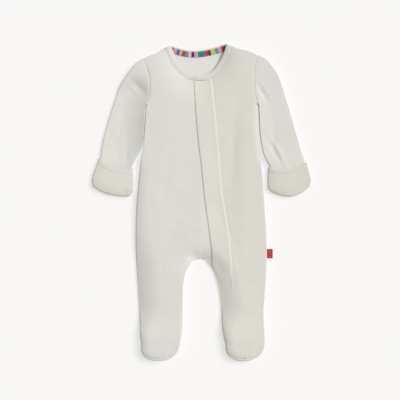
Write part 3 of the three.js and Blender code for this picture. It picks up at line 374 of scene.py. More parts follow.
def armhole_line(side):
    top, underarm, bow = ARMHOLE[side]
    t = np.linspace(0, 1, 44)
    bend = bow * 4 * t * (1 - t)
    return np.column_stack([mix(top[0], underarm[0], t) + bend, mix(top[1], underarm[1], t)])


def toe_line(side, inset=0):
    """Toe edge from the outer side round the tip to the inner side."""
    column = COLUMN[side]
    outer_x, inner_x = SIDE_SEAM[-1, column], INNER_LEG[-1, column]
    ball_y = SIDE_SEAM[-1, 0]
    tip_x, tip_y, power = TOE[side]
    angle = np.linspace(0, math.pi, 70)
    across = np.sign(np.cos(angle)) * np.abs(np.cos(angle)) ** (2 / power)
    down = np.abs(np.sin(angle)) ** (2 / power)
    middle = mix((outer_x + inner_x) / 2, tip_x, down)
    reach = ball_y - tip_y - inset
    return np.column_stack([middle + (outer_x - inner_x) / 2 * across, ball_y - reach * down])


def side_line(side, top, bottom):
    y = np.linspace(top, bottom, max(3, int(abs(top - bottom) / OUTLINE_STEP)))
    return np.column_stack([value_at(SIDE_SEAM, COLUMN[side], y), y])


def inner_leg(side, top, bottom):
    """Inner edge of a leg between two heights."""
    line = Curve(INNER_LEG[:, [COLUMN[side], 0]]).even(1.6)
    kept = line[(line[:, 1] < top - 0.4) & (line[:, 1] > bottom + 0.4)]
    x = np.interp([-top, -bottom], -line[:, 1], line[:, 0])
    return np.vstack([[x[0], top], kept, [x[1], bottom]])


UNDERARM_Y, BALL_Y = SIDE_SEAM[0, 0], SIDE_SEAM[-1, 0]
CROTCH_Y = INNER_LEG[0, 0]


def suit_outline():
    """Outline as three lines with the cloth on their left, open at the neck and the cuffs."""
    rings = SLEEVE_RINGS
    lower = [
        Curve(rings["right"][:, 2:4]).even()[::-1],
        side_line("right", UNDERARM_Y, BALL_Y),
        toe_line("right"),
        inner_leg("right", CROTCH_Y, BALL_Y)[::-1],
        inner_leg("left", CROTCH_Y, BALL_Y),
        toe_line("left")[::-1],
        side_line("left", UNDERARM_Y, BALL_Y)[::-1],
        Curve(rings["left"][:, 2:4]).even(),
    ]
    left_top = [Curve(rings["left"][:, :2]).even()[::-1], Curve(SHOULDER["left"]).even()[::-1]]
    right_top = [Curve(SHOULDER["right"]).even(), Curve(rings["right"][:, :2]).even()]
    return [np.vstack(lower), np.vstack(left_top), np.vstack(right_top)]


def mitt_outline(side):
    sides = MITT[side]
    line = np.vstack([
        Curve(sides["outer"]).even(), Curve(sides["bottom"]).even(), Curve(sides["inner"]).even()[::-1],
    ])
    return [line if side == "right" else line[::-1]]


def nearest(lines, places):
    """Distance to the nearest point of some lines, the direction from it and its way along them.

    Places on a line take the direction to its left, where the cloth lies.
    """
    starts, spans, ways = [], [], []
    run = 0.0
    for line in lines:
        span = np.diff(line, axis=0)
        lengths = np.hypot(*span.T)
        kept = lengths > 1e-6
        starts.append(line[:-1][kept])
        spans.append(span[kept])
        ways.append(run + np.concatenate([[0], np.cumsum(lengths)])[:-1][kept])
        run += lengths.sum()
    start, span, way = np.vstack(starts), np.vstack(spans), np.concatenate(ways)
    length2 = (span ** 2).sum(axis=1)
    length = np.sqrt(length2)
    distance = np.empty(len(places))
    direction = np.empty((len(places), 2))
    along = np.empty(len(places))
    for first in range(0, len(places), 2000):
        part = places[first:first + 2000]
        rel = part[:, None, :] - start[None]
        t = np.clip((rel * span).sum(axis=2) / length2, 0, 1)
        off = rel - t[..., None] * span
        gap = np.sqrt((off ** 2).sum(axis=2))
        best = gap.argmin(axis=1)
        rows = np.arange(len(part))
        near = gap[rows, best]
        left = np.column_stack([-span[best, 1], span[best, 0]]) / length[best, None]
        away = off[rows, best] / np.maximum(near, 1e-9)[:, None]
        direction[first:first + 2000] = np.where(near[:, None] > ON_EDGE, away, left)
        distance[first:first + 2000] = near
        along[first:first + 2000] = way[best] + t[rows, best] * length[best]
    return distance, direction, along


SUIT_OUTLINE = suit_outline()
MITT_OUTLINE = {side: mitt_outline(side) for side in MITT}


def placket_seam():
    y = np.linspace(PLACKET[0, 0], PLACKET_END, 160)
    return np.column_stack([value_at(PLACKET, 2, y), y])


# Seams that draw the cloth in: line, depth, pucker height and pucker spacing.
SEAMS = [
    (armhole_line("right"), 0.9, 0.2, 9),
    (armhole_line("left"), 0.5, 0.15, 8),
    (toe_line("right", TOE_LIP), 1.0, 0.3, 8),
    (toe_line("left", TOE_LIP), 1.2, 0.6, 7),
    (Curve(NECK_FRONT["right"][1]).even(), 0.2, 0.12, 7),
    (Curve(NECK_FRONT["left"][1]).even(), 0.2, 0.12, 7),
    (placket_seam(), 0.15, 0.12, 10),
]
SEAM_REACH = 1.7
PUCKER_REACH = 6
SEAM_MARGIN = 18


def soft_waves(x, y, size, seed):
    """Smooth uneven waves between -1 and 1 with about one wave in each size."""
    source = np.random.default_rng(seed)
    total = np.zeros_like(x)
    for angle in source.uniform(0, math.pi, 7):
        wave = 2 * math.pi / (size * source.uniform(0.7, 1.5))
        phase = source.uniform(0, 2 * math.pi)
        total += np.sin((x * math.cos(angle) + y * math.sin(angle)) * wave + phase)
    return total / 4


def seam_relief(places):
    """A valley along each seam, with uneven puckers on both sides of it."""
    height = np.zeros(len(places))
    for line, depth, pucker, spacing in SEAMS:
        low, high = line.min(axis=0) - SEAM_MARGIN, line.max(axis=0) + SEAM_MARGIN
        near = np.all((places > low) & (places < high), axis=1)
        if not near.any():
            continue
        distance, _, along = nearest([line], places[near])
        turn = along * 2 * math.pi / spacing
        uneven = np.sin(turn + 1.7 * np.sin(turn * 0.23)) * (0.6 + 0.4 * np.sin(turn * 0.37))
        valley = -depth * np.exp(-(distance / SEAM_REACH) ** 2)
        ridges = pucker * uneven * np.exp(-(distance / PUCKER_REACH) ** 2) * smooth_step(distance, 0, 1.6)
        height[near] += valley + ridges
    return height


def crease_relief(places, table):
    """Soft long ridges and troughs, each from a row of a table."""
    height = np.zeros(len(places))
    for x, y, turn, length, width, rise in table:
        angle = math.radians(turn)
        dx, dy = places[:, 0] - x, places[:, 1] - y
        along = (dx * math.cos(angle) + dy * math.sin(angle)) / (length / 2)
        across = (dy * math.cos(angle) - dx * math.sin(angle)) / (width / 2)
        height += rise * np.exp(-along ** 2 - across ** 2)
    return height


def apart(places):
    """0 where a sleeve and the torso press together, and 1 further away."""
    away = [np.hypot(places[:, 0] - x, places[:, 1] - y) for x, y, _ in ARMPIT]
    return smooth_step(np.min(away, axis=0), ARMPIT_CORE, ARMPIT_REACH)


def edge_height(places, lean=1.0):
    """Height at which the upper and the lower cloth meet."""
    height = np.full(len(places), float(SEAM_HEIGHT))
    for x, y, rise in ARMPIT:
        away = np.hypot(places[:, 0] - x, places[:, 1] - y)
        height += lean * rise * (1 - smooth_step(away, ARMPIT_CORE, ARMPIT_EDGE_REACH))
    return height


def front_height(places, distance, inward, lift, lean):
    """Height of the upper cloth at a distance and direction from its rim."""
    reach, share = (np.interp(-places[:, 1], -EDGE_SLOPES[:, 0], EDGE_SLOPES[:, k]) for k in (1, 2))
    slope = (EDGE_DROP - EDGE_LEAN * (inward @ np.array(LOW_SIDE))) * lean
    pressed = 1 - apart(places)
    full = -slope * share * reach * (1 - pressed) * (1 - np.minimum(distance / reach, 1)) ** 2
    under = TUCK * lean * pressed * smooth_step(-inward[:, 0], *TUCK_FACING)
    full -= under * (1 - np.minimum(distance / TUCK_REACH, 1)) ** 2
    sag = TORSO_SAG * smooth_step(distance, SAG_FROM, SAG_TO)
    puff = FOOT_PUFF * smooth_step(-places[:, 1], FOOT_PUFF_FROM, FOOT_PUFF_TO)
    from_neck = np.hypot(places[:, 0] - NECK_CENTRE[0], places[:, 1] - NECK_CENTRE[1]) - NECK_RADIUS
    dip = NECK_DIP * np.exp(-(np.maximum(from_neck, 0) / NECK_DIP_REACH) ** 2)
    top = PLATEAU + full - sag + puff - dip + lift + crease_relief(places, [*CREASES, *SLOPES])
    seam = edge_height(places, lean) + SEAM_GAP
    crisp = np.maximum(pressed, smooth_step(-inward[:, 0], *CRISP_FACING))
    r = np.clip(distance / (RIM_ROLL * mix(1, CRISP_ROLL, crisp)), 0, 1)
    return seam + np.maximum(top - seam, 1) * (1 - (1 - r) ** ROLL_POWER) ** (1 / ROLL_POWER)


def fine_relief(places, distance):
    """Relief that only the looks have, fading out at the rim."""
    waves = sum(height * soft_waves(*places.T, size, seed) for height, size, seed in WAVES)
    relief = waves + crease_relief(places, FINE_CREASES) + seam_relief(places)
    return relief * smooth_step(distance, 0, FINE_FADE)


def from_outline(places, outline, rim):
    """Distance and direction from an outline, with the places of the rim right on it."""
    distance, inward, _ = nearest(outline, places)
    return (distance if rim is None else np.where(rim, 0, distance)), inward


def upper_cloth(
    places, outline=SUIT_OUTLINE, lift=0.0, rise=0.0, thickness=CLOTH, rim=None, lean=1.0,
):
    """Outer and inner points of the upper cloth over plan places."""
    distance, inward = from_outline(places, outline, rim)
    z = front_height(places, distance, inward, lift, lean)
    step = 0.05
    slope = (front_height(places, distance + step, inward, lift, lean) - z) / step
    size = np.hypot(slope, 1)
    normal = np.column_stack([-slope * inward[:, 0], -slope * inward[:, 1], np.ones(len(z))])
    normal /= size[:, None]
    flat = distance < 0.02
    normal[flat] = np.column_stack([-inward[flat], np.zeros(flat.sum())])
    z = z + fine_relief(places, distance)
    eased = rise * smooth_step(distance, 0, RISE_FADE)
    outer = np.column_stack([places, z]) + normal * np.reshape(eased, (-1, 1))
    return outer, outer - normal * thickness


def lower_cloth(places, outline=SUIT_OUTLINE, floor=0.0, thickness=CLOTH, rim=None, lean=1.0):
    """Outer and inner points of the cloth that lies on the floor."""
    distance, inward = from_outline(places, outline, rim)
    t = np.minimum(distance / BACK_CURL, 1)
    rest = np.sqrt(1 - (1 - t) ** 2)
    z = mix(edge_height(places, lean), floor, rest)
    normal = np.column_stack([-inward * (1 - t)[:, None], -rest])
    outer = np.column_stack([places, z])
    return outer, outer - normal * thickness


class Cloth:
    """A closed wall of cloth grown from sheets of outer points."""

    def __init__(self):
        self.outer, self.inner, self.faces = [], [], []
        self.count = 0

    def add(self, points, faces, facing_up=True):
        outer, inner = points
        faces = np.asarray(faces)
        a, b, c = (outer[faces[:, k]] for k in (0, 1, 2))
        up = np.cross(b - a, c - a)[:, 2].sum() > 0
        if up != facing_up:
            faces = faces[:, ::-1]
        self.outer.append(outer)
        self.inner.append(inner)
        self.faces.append(faces + self.count)
        self.count += len(outer)

    def add_grid(self, points, rows, facing_up=True):
        index = np.arange(len(points[0])).reshape(rows, -1)
        a, b = index[:-1, :-1].ravel(), index[:-1, 1:].ravel()
        c, d = index[1:, 1:].ravel(), index[1:, :-1].ravel()
        faces = np.vstack([np.column_stack([a, b, c]), np.column_stack([a, c, d])])
        self.add(points, faces, facing_up)

    def finish(self, name, slot, material):
        outer, inner = np.vstack(self.outer), np.vstack(self.inner)
        faces = np.vstack(self.faces)
        _, kept, merged = np.unique(np.round(outer, 2), axis=0, return_index=True, return_inverse=True)
        outer, inner = outer[kept], inner[kept]
        faces = merged.reshape(-1)[faces]
        wide = (faces[:, 0] != faces[:, 1]) & (faces[:, 1] != faces[:, 2]) & (faces[:, 2] != faces[:, 0])
        faces = faces[wide]
        count = len(outer)
        edges = np.vstack([faces[:, [0, 1]], faces[:, [1, 2]], faces[:, [2, 0]]])
        keys = edges[:, 0].astype(np.int64) * count + edges[:, 1]
        back = edges[:, 1].astype(np.int64) * count + edges[:, 0]
        rims = edges[~np.isin(keys, back)]
        a, b = rims[:, 0], rims[:, 1]
        walls = np.vstack([np.column_stack([b, a, a + count]), np.column_stack([b, a + count, b + count])])
        all_faces = np.vstack([faces, faces[:, ::-1] + count, walls])
        places = np.vstack([outer, inner])
        places[:, :2] += SHIFT
        piece = cloth_piece(name, places * MM, all_faces.tolist(), material)
        sharpen(piece.data, np.vstack([rims, rims + count]))
        return piece


def sharpen(mesh, rims):
    """Keeps the cut edges of the cloth crisp, so that its face stays evenly lit up to them."""
    ends = np.empty(2 * len(mesh.edges), dtype=np.int32)
    mesh.edges.foreach_get("vertices", ends)
    ends = np.sort(ends.reshape(-1, 2), axis=1).astype(np.int64)
    keys = ends[:, 0] * len(mesh.vertices) + ends[:, 1]
    rims = np.sort(rims, axis=1).astype(np.int64)
    sharp = np.isin(keys, rims[:, 0] * len(mesh.vertices) + rims[:, 1])
    mesh.attributes.new("sharp_edge", "BOOLEAN", "EDGE").data.foreach_set("value", sharp)


def in_scene(name, data):
    made = bpy.data.objects.new(name, data)
    bpy.context.collection.objects.link(made)
    return made


def suit_piece(mesh):
    """A piece of the suit from its mesh, put in the scene and hung under the root body."""
    piece = in_scene(mesh.name, mesh)
    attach(piece, "root")
    return piece


def cloth_piece(name, places, faces, material):
    mesh = bpy.data.meshes.new(name)
    mesh.from_pydata(places.tolist(), [], faces)
    mesh.validate()
    mesh.polygons.foreach_set("use_smooth", [True] * len(mesh.polygons))
    mesh.update()
    mesh.materials.append(material)
    return suit_piece(mesh)


def between(start, end, shares):
    """Rows of points, each at shares of the way from one line to another."""
    return mix(start[:, None], end[:, None], shares[None, :, None])


def clean_ring(*parts):
    """One closed ring of plan points from parts that join end to end, without double points."""
    ring = [np.asarray(parts[0][0], float)]
    for place in np.vstack(parts):
        if math.dist(place, ring[-1]) > SAME_PLACE:
            ring.append(place)
    if math.dist(ring[0], ring[-1]) < SAME_PLACE:
        ring.pop()
    return np.array(ring)


def filled(ring):
    """Plan points and triangles that fill a ring, with rows of points close along its edge."""
    loop = np.vstack([ring, ring[:1]])
    area = (loop[:-1, 0] * loop[1:, 1] - loop[1:, 0] * loop[:-1, 1]).sum() / 2
    turn = np.roll(ring, -1, axis=0) - np.roll(ring, 1, axis=0)
    turn /= np.hypot(*turn.T)[:, None]
    inward = np.column_stack([-turn[:, 1], turn[:, 0]]) * np.sign(area)
    rows = []
    for offset in EDGE_ROWS:
        row = ring + inward * offset
        distance, _, _ = nearest([loop], row)
        rows.append(row[distance > offset * 0.96])
    low, high = ring.min(axis=0), ring.max(axis=0)
    xs, ys = np.arange(low[0], high[0], POINT_STEP), np.arange(low[1], high[1], POINT_STEP * 0.87)
    grid = np.array([(x + POINT_STEP / 2 * (j % 2), y) for j, y in enumerate(ys) for x in xs])
    distance, _, _ = nearest([loop], grid)
    rows.append(grid[distance > EDGE_ROWS[-1] + 1.2])
    inner = np.vstack(rows)
    inner = inner[inside(loop, inner)]
    places = np.vstack([ring, inner])
    order = [list(range(len(ring)))]
    made, _, faces, _, _, _ = delaunay_2d_cdt([tuple(p) for p in places], [], order, 1, 1e-5)
    return np.array([tuple(p) for p in made]), np.array(faces)


def inside(loop, places):
    """Which places lie inside a closed loop."""
    hits = np.zeros(len(places), bool)
    for (ax, ay), (bx, by) in zip(loop[:-1], loop[1:]):
        crosses = (ay > places[:, 1]) != (by > places[:, 1])
        x = ax + (places[:, 1] - ay) / (by - ay if by != ay else 1e-9) * (bx - ax)
        hits ^= crosses & (places[:, 0] < x)
    return hits


def fractions(width, start=True, end=True, step=POINT_STEP):
    """Shares across a width, close together at its rolled ends."""
    low = np.array(ROLL_STEPS if start else PLAIN_STEPS) / width
    high = 1 - (np.array(ROLL_STEPS if end else PLAIN_STEPS) / width)[::-1]
    between = max(1, round((high[0] - low[-1]) * width / step))
    return np.concatenate([low, np.linspace(low[-1], high[0], between + 1)[1:-1], high])


def panel_neck(side):
    """The front's own edge below its binding."""
    out = -SEAM_GAP if side == "right" else SEAM_GAP
    seam = NECK_FRONT[side][1]
    kept = seam[1:] if side == "right" else seam[1:5]
    return [(x + out, y - SEAM_GAP) for x, y in kept]


def shoulder_from_neck(side):
    beyond = [p for p in SHOULDER[side] if abs(p[0]) > abs(BAND_END[side][0]) + 3]
    return Curve([BAND_END[side], *beyond]).even()


def panel(name, ring, lay, material):
    """A piece of the suit's body inside its cut edge, laid as the upper or the lower cloth."""
    places, faces = filled(ring)
    cloth = Cloth()
    cloth.add(lay(places), faces, facing_up=lay is upper_cloth)
    return cloth.finish(name, "body_knit", material)


def strip(name, slot, points, rows, material, facing_up=True):
    """A piece of cloth from rows of points along it."""
    cloth = Cloth()
    cloth.add_grid(points, rows, facing_up)
    return cloth.finish(name, slot, material)


def tube(name, slot, top, bottom, rim, rows, material):
    """A flattened tube from its upper and its lower cloth, which meet at the rim."""
    for upper, lower in zip(top, bottom):
        upper[rim] = lower[rim]
    cloth = Cloth()
    cloth.add_grid(top, rows)
    cloth.add_grid(bottom, rows, facing_up=False)
    return cloth.finish(name, slot, material)


def front_right(material):
    underlap_y = np.linspace(UNDERLAP[0, 0], CROTCH_SPLIT_Y, 170)
    ring = clean_ring(
        Curve([BAND_END["right"], *panel_neck("right"), (UNDERLAP[0, 1], UNDERLAP[0, 0])]).even(),
        np.column_stack([value_at(UNDERLAP, 1, underlap_y), underlap_y]),
        inner_leg("left", CROTCH_Y, CROTCH_SPLIT_Y)[::-1],
        inner_leg("right", CROTCH_Y, BALL_Y),
        toe_line("right", TOE_LIP + SEAM_GAP)[::-1],
        side_line("right", UNDERARM_Y, BALL_Y)[::-1],
        armhole_line("right")[::-1],
        shoulder_from_neck("right")[::-1],
    )
    return panel("cloth_front_right", ring, upper_cloth, material)


def front_left(material):
    split_y = PLACKET_END - SPLIT_GAP
    split_x = inner_leg("left", split_y, BALL_Y)[0, 0]
    seam_x = value_at(PLACKET, 2, split_y)[0]
    corner = (PLACKET[0, 2] + 0.6, PLACKET[0, 0] + PLACKET_CORNER_RISE - 0.2)
    seam_y = np.linspace(PLACKET[0, 0], split_y, 180)[1:]
    ring = clean_ring(
        Curve([BAND_END["left"], *panel_neck("left"), corner]).even(),
        np.column_stack([value_at(PLACKET, 2, seam_y) + SEAM_GAP, seam_y]),
        np.column_stack([np.linspace(seam_x, split_x, 14), np.full(14, split_y)]),
        inner_leg("left", split_y, BALL_Y),
        toe_line("left", TOE_LIP + SEAM_GAP)[::-1],
        side_line("left", UNDERARM_Y, BALL_Y)[::-1],
        armhole_line("left")[::-1],
        shoulder_from_neck("left")[::-1],
    )
    return panel("cloth_front_left", ring, upper_cloth, material)


def heel_line(side, shift=0.0):
    column = COLUMN[side]
    u = np.linspace(0, 1, 34)
    outer_x = value_at(SIDE_SEAM, column, HEEL_Y)[0]
    inner_x = inner_leg(side, HEEL_Y, BALL_Y)[0, 0]
    return np.column_stack([mix(outer_x, inner_x, u), HEEL_Y + HEEL_RISE * np.sin(math.pi * u) + shift])


def back_neck_seam():
    seam = [(x, y - SEAM_GAP) for x, y in BACK_NECK_SEAM[1:-1]]
    return Curve([BAND_END["right"], *seam, BAND_END["left"]])


def back(material):
    ring = clean_ring(
        back_neck_seam().even(),
        shoulder_from_neck("left"),
        armhole_line("left"),
        side_line("left", UNDERARM_Y, HEEL_Y),
        heel_line("left"),
        inner_leg("left", CROTCH_Y, HEEL_Y)[::-1],
        inner_leg("right", CROTCH_Y, HEEL_Y),
        heel_line("right")[::-1],
        side_line("right", UNDERARM_Y, HEEL_Y)[::-1],
        armhole_line("right")[::-1],
        shoulder_from_neck("right")[::-1],
    )
    return panel("cloth_back", ring, lower_cloth, material)


def sole(side, material):
    ring = clean_ring(
        heel_line(side, -2 * SEAM_GAP),
        inner_leg(side, HEEL_Y, BALL_Y),
        toe_line(side)[::-1],
        side_line(side, HEEL_Y, BALL_Y)[::-1],
    )
    places, faces = filled(ring)
    cloth = Cloth()
    cloth.add(lower_cloth(places), faces, facing_up=False)
    start, end = toe_line(side)[1:-1], toe_line(side, TOE_LIP)[1:-1]
    shares = np.array([0, 0.04, 0.12, 0.25, 0.4, 0.58, 0.78, 1])
    lip = between(start, end, shares).reshape(-1, 2)
    rim = np.tile(shares == 0, len(start))
    outer, inner = upper_cloth(lip, rim=rim)
    outer[rim, 2] = inner[rim, 2] = SEAM_HEIGHT
    cloth.add_grid((outer, inner), len(start))
    return cloth.finish(f"cloth_sole_{side}", "body_knit", material)


def sleeve(side, material):
    rings = SLEEVE_RINGS[side].copy()
    rings[0, [0, 2]] -= math.copysign(ARMHOLE_INSET, rings[0, 0])
    knots = np.linspace(0, len(rings) - 1, SLEEVE_ROWS)
    outer, inner = Curve(rings[:, :2]).at_knot(knots), Curve(rings[:, 2:4]).at_knot(knots)
    bow, floor, lift = (np.interp(knots, range(len(rings)), rings[:, k]) for k in (4, 5, 6))
    shares = fractions(SLEEVE_WIDTH)
    bend = bow[:, None] * 4 * shares * (1 - shares)
    places = between(outer, inner, shares)
    places[..., 0] += bend
    places = places.reshape(-1, 2)
    rim = np.tile((shares == 0) | (shares == 1), len(knots))
    torso = np.vstack([armhole_line(side), side_line(side, UNDERARM_Y, CUFF_Y)])
    beside, _, _ = nearest([torso], places)
    low = SLEEVE_LOW[side] * (1 - (1 - np.minimum(beside / SLEEVE_RISE, 1)) ** 2)
    low -= SLEEVE_BRIM[side] * np.maximum(beside - SLEEVE_RISE, 0)
    low *= smooth_step(-places[:, 1], *SLEEVE_CAP) * mix(CUFF_SHARE, 1, smooth_step(places[:, 1], *CUFF))
    floor, lift = (np.repeat(column, len(shares)) for column in (floor, lift))
    top = upper_cloth(places, lift=lift - low, rim=rim, lean=0.0)
    bottom = lower_cloth(places, floor=floor, rim=rim, lean=0.0)
    return tube(f"cloth_sleeve_{side}", "body_knit", top, bottom, rim, len(knots), material)


def patch(top, bottom, start, end, u, v):
    """Plan points of a four-sided patch whose sides meet at its corners."""
    u_grid, v_grid = (grid[..., None] for grid in np.meshgrid(u, v))
    a, b = top.at(u)[None], bottom.at(u)[None]
    c, d = start.at(v)[:, None], end.at(v)[:, None]
    corners = [line.at(np.array([t]))[0] for line, t in ((top, 0), (top, 1), (bottom, 0), (bottom, 1))]
    flat = mix(mix(corners[0], corners[1], u_grid), mix(corners[2], corners[3], u_grid), v_grid)
    return mix(a, b, v_grid) + mix(c, d, u_grid) - flat


def mitt_roll(hem):
    """Swell of the folded hem and the groove of its stitching, at a distance from the fold."""
    swell, groove = (
        height * np.exp(-((hem - middle) / reach) ** 2) for height, middle, reach in (HEM_SWELL, HEM_GROOVE)
    )
    return swell - groove


def mitt_places(side, u, v):
    sides = (Curve(MITT[side][name]) for name in ("hem", "bottom", "outer", "inner"))
    return patch(*sides, u, v).reshape(-1, 2)


def mitt(side, material):
    u, v = fractions(MITT_WIDTH, step=MITT_STEP), fractions(MITT_LENGTH, start=False, step=MITT_STEP)
    places = mitt_places(side, u, v)
    u_grid, v_grid = (grid.ravel() for grid in np.meshgrid(u, v))
    rim = (u_grid == 0) | (u_grid == 1) | (v_grid == 1)
    outline = MITT_OUTLINE[side]
    roll = mitt_roll(MITT_LENGTH * v_grid)
    upper = upper_cloth(places, outline, lift=MITT_LIFT, rise=roll, rim=rim)
    lower = lower_cloth(places, outline, rim=rim)
    return tube(f"cloth_mitt_{side}", "mitten_knit", upper, lower, rim, len(v), material)


def strip_rise(table, shares):
    """How far a doubled strip stands up at shares of its width."""
    us, rises = zip(*table)
    return np.interp(shares, us, rises)


def placket_edges(y):
    """The free and the sewn edge's x. Below the crotch the free edge lies on the inner leg."""
    leg = inner_leg("left", CROTCH_Y, BALL_Y)
    free = np.where(y <= PLACKET_RIM_Y, np.interp(-y, -leg[:, 1], leg[:, 0]), value_at(PLACKET, 1, y))
    return free, value_at(PLACKET, 2, y)


def placket_rise(y, shares):
    """How far the placket stands above the front, less towards its end."""
    fade = smooth_step(y, *(PLACKET_END + reach for reach in PLACKET_FADE))
    return strip_rise(PLACKET_RISE, shares) * fade


def placket(material):
    upper_y = np.linspace(PLACKET[0, 0], PLACKET_RIM_Y, 190)
    y = np.concatenate([upper_y, np.linspace(PLACKET_RIM_Y - 1.5, PLACKET_END, 22)])
    edge_shares = [0, 0.012, 0.03, 0.06, 0.1, 0.15]
    seam_shares = [0.84, 0.87, 0.9, 0.93, 0.96, 0.98, 1]
    shares = np.array([*edge_shares, *np.arange(0.21, 0.8, 0.06), *seam_shares])
    free, sewn = placket_edges(y)
    x = mix(free[:, None], sewn[:, None], shares)
    near_corner = smooth_step(y, PLACKET[0, 0] - PLACKET_CORNER_REACH, PLACKET[0, 0])
    raised = PLACKET_CORNER_RISE * shares ** 5 * near_corner[:, None]
    places = np.column_stack([x.ravel(), (y[:, None] + raised).ravel()])
    rim = ((y <= PLACKET_RIM_Y)[:, None] & (shares == 0)).ravel()
    rise = placket_rise(y[:, None], shares) + 0.05
    points = upper_cloth(places, rise=rise.ravel(), thickness=DOUBLED_CLOTH, rim=rim)
    return strip("cloth_placket", "placket_knit", points, len(y), material)


def front_binding(side, material):
    edge, seam, lift = NECK_FRONT[side]
    t = fractions(BAND_LENGTH, end=False, step=BAND_STEP)
    shares = np.array([0, 0.04, 0.1, 0.2, 0.3, 0.42, 0.54, 0.66, 0.78, 0.88, 0.95, 1])
    places = between(Curve(edge).at(t), Curve(seam).at(t), shares).reshape(-1, 2)
    rise = strip_rise(BAND_CROWN, shares)[None] + lift * smooth_step(t, 0.5, 0.8)[:, None]
    rim = np.repeat(t == 0, len(shares))
    points = upper_cloth(places, rise=rise.ravel(), thickness=DOUBLED_CLOTH, rim=rim)
    return strip(f"cloth_neck_band_front_{side}", "binding_knit", points, len(t), material)


def back_binding(material):
    t = np.linspace(0, 1, 84)
    seam = back_neck_seam().at(t) + (0, 2 * SEAM_GAP)
    edge = Curve(BACK_NECK_EDGE).at(t)
    shares = np.linspace(0, 1, 9)
    places = between(edge, seam, shares).reshape(-1, 2)
    rim = np.repeat((t == 0) | (t == 1), len(shares))
    points = lower_cloth(places, thickness=DOUBLED_CLOTH, rim=rim)
    return strip("cloth_neck_band_back", "binding_knit", points, len(t), material, facing_up=False)


def tape_points(t, shares):
    """Points on the face of the tape at shares of its length and width."""
    edge_line, seam_line = Curve(BACK_NECK_EDGE[1:-1]).at(t), Curve(BACK_NECK_SEAM[1:-1]).at(t)
    down = (seam_line - edge_line) / np.hypot(*(seam_line - edge_line).T)[:, None]
    below = TAPE_BELOW_EDGE + shares * TAPE_WIDTH
    places = (edge_line[:, None] + down[:, None] * below[None, :, None]).reshape(-1, 2)
    level = np.interp(shares, [0, 0.55, 1], [3.6, 3.6, 2.9]) - 0.25 * (np.abs(2 * shares - 1) ** 6)
    height, size, seed = TAPE_WAVES
    z = np.tile(level, len(t)) + height * soft_waves(*places.T, size, seed)
    return np.column_stack([places, z])


def tape(material):
    """Striped tape, with its way along and across stored as a UV map for the stripes."""
    t = np.linspace(0, 1, 96)
    shares = np.array([0, 0.06, 0.2, 0.4, 0.6, 0.8, 0.94, 1])
    outer = tape_points(t, shares)
    points = (outer, outer - (0, 0, TAPE_CLOTH))
    piece = strip("cloth_neck_tape", "striped_tape", points, len(t), material)
    mesh = piece.data
    places = np.array([vertex.co[:2] for vertex in mesh.vertices]) / MM - SHIFT
    middle = tape_points(np.linspace(0, 1, 200), np.array([0.5]))[:, :2]
    across, _, along = nearest([middle], places)
    corners = np.empty(len(mesh.loops), dtype=np.int32)
    mesh.loops.foreach_get("vertex_index", corners)
    length = np.hypot(*np.diff(middle, axis=0).T).sum()
    way = np.column_stack([along / length, across / TAPE_WIDTH])
    mesh.uv_layers.new(name="tape").data.foreach_set("uv", way[corners].ravel())
    return piece


def side_tab(material):
    """Folded tab: one ribbon that goes out, turns and comes back over itself."""
    y, width, reach, layer, floor, clearance, radius = TAB
    start = value_at(SIDE_SEAM, 2, y)[0] + clearance
    turn = np.linspace(-math.pi / 2, math.pi / 2, 9)
    fold_x = start + reach - radius - layer / 2
    low, high = floor + layer / 2, floor + layer / 2 + 2 * radius
    profile = np.vstack([
        [(start + s * (fold_x - start), low) for s in np.linspace(0, 1, 8)[:-1]],
        np.column_stack([fold_x + radius * np.cos(turn), (low + high) / 2 + radius * np.sin(turn)]),
        [(fold_x - s * (fold_x - start), high) for s in np.linspace(0, 1, 8)[1:]],
    ])
    tangent = np.gradient(profile, axis=0)
    tangent /= np.hypot(*tangent.T)[:, None]
    normal = np.column_stack([tangent[:, 1], -tangent[:, 0]])
    ys = np.linspace(y + width / 2, y - width / 2, 22)
    thick = np.full(len(ys), layer / 2 - 0.05)
    thick[[0, -1]] *= 0.5
    points = []
    for sign in (1, -1):
        rows = [
            [
                (px + nx * half * sign, yy, pz + nz * half * sign)
                for (px, pz), (nx, nz) in zip(profile, normal)
            ]
            for yy, half in zip(ys, thick)
        ]
        points.append(np.array(rows).reshape(-1, 3))
    return strip("cloth_side_tab", "red_tab", points, len(ys), material, facing_up=False)


def add_node(tree, kind, inputs=(), **settings):
    """Adds a node with its settings and its inputs, each one a value or the socket that feeds it."""
    node = tree.nodes.new(kind)
    for setting, value in settings.items():
        setattr(node, setting, value)
    for label, value in dict(inputs).items():
        if isinstance(value, bpy.types.NodeSocket):
            tree.links.new(value, node.inputs[label])
        else:
            node.inputs[label].default_value = value
    return node.outputs


def math_node(tree, operation, *values):
    return add_node(tree, "ShaderNodeMath", enumerate(values), operation=operation)[0]


def new_tree(name, kind, inputs, outputs):
    """A node tree with named sockets, given as name, type and default, and its two ends."""
    tree = bpy.data.node_groups.new(name, kind)
    for label, socket_type, default in inputs:
        socket = tree.interface.new_socket(name=label, in_out="INPUT", socket_type=socket_type)
        if default is not None:
            socket.default_value = default
    for label, socket_type in outputs:
        tree.interface.new_socket(name=label, in_out="OUTPUT", socket_type=socket_type)
    return tree, tree.nodes.new("NodeGroupInput").outputs, tree.nodes.new("NodeGroupOutput").inputs


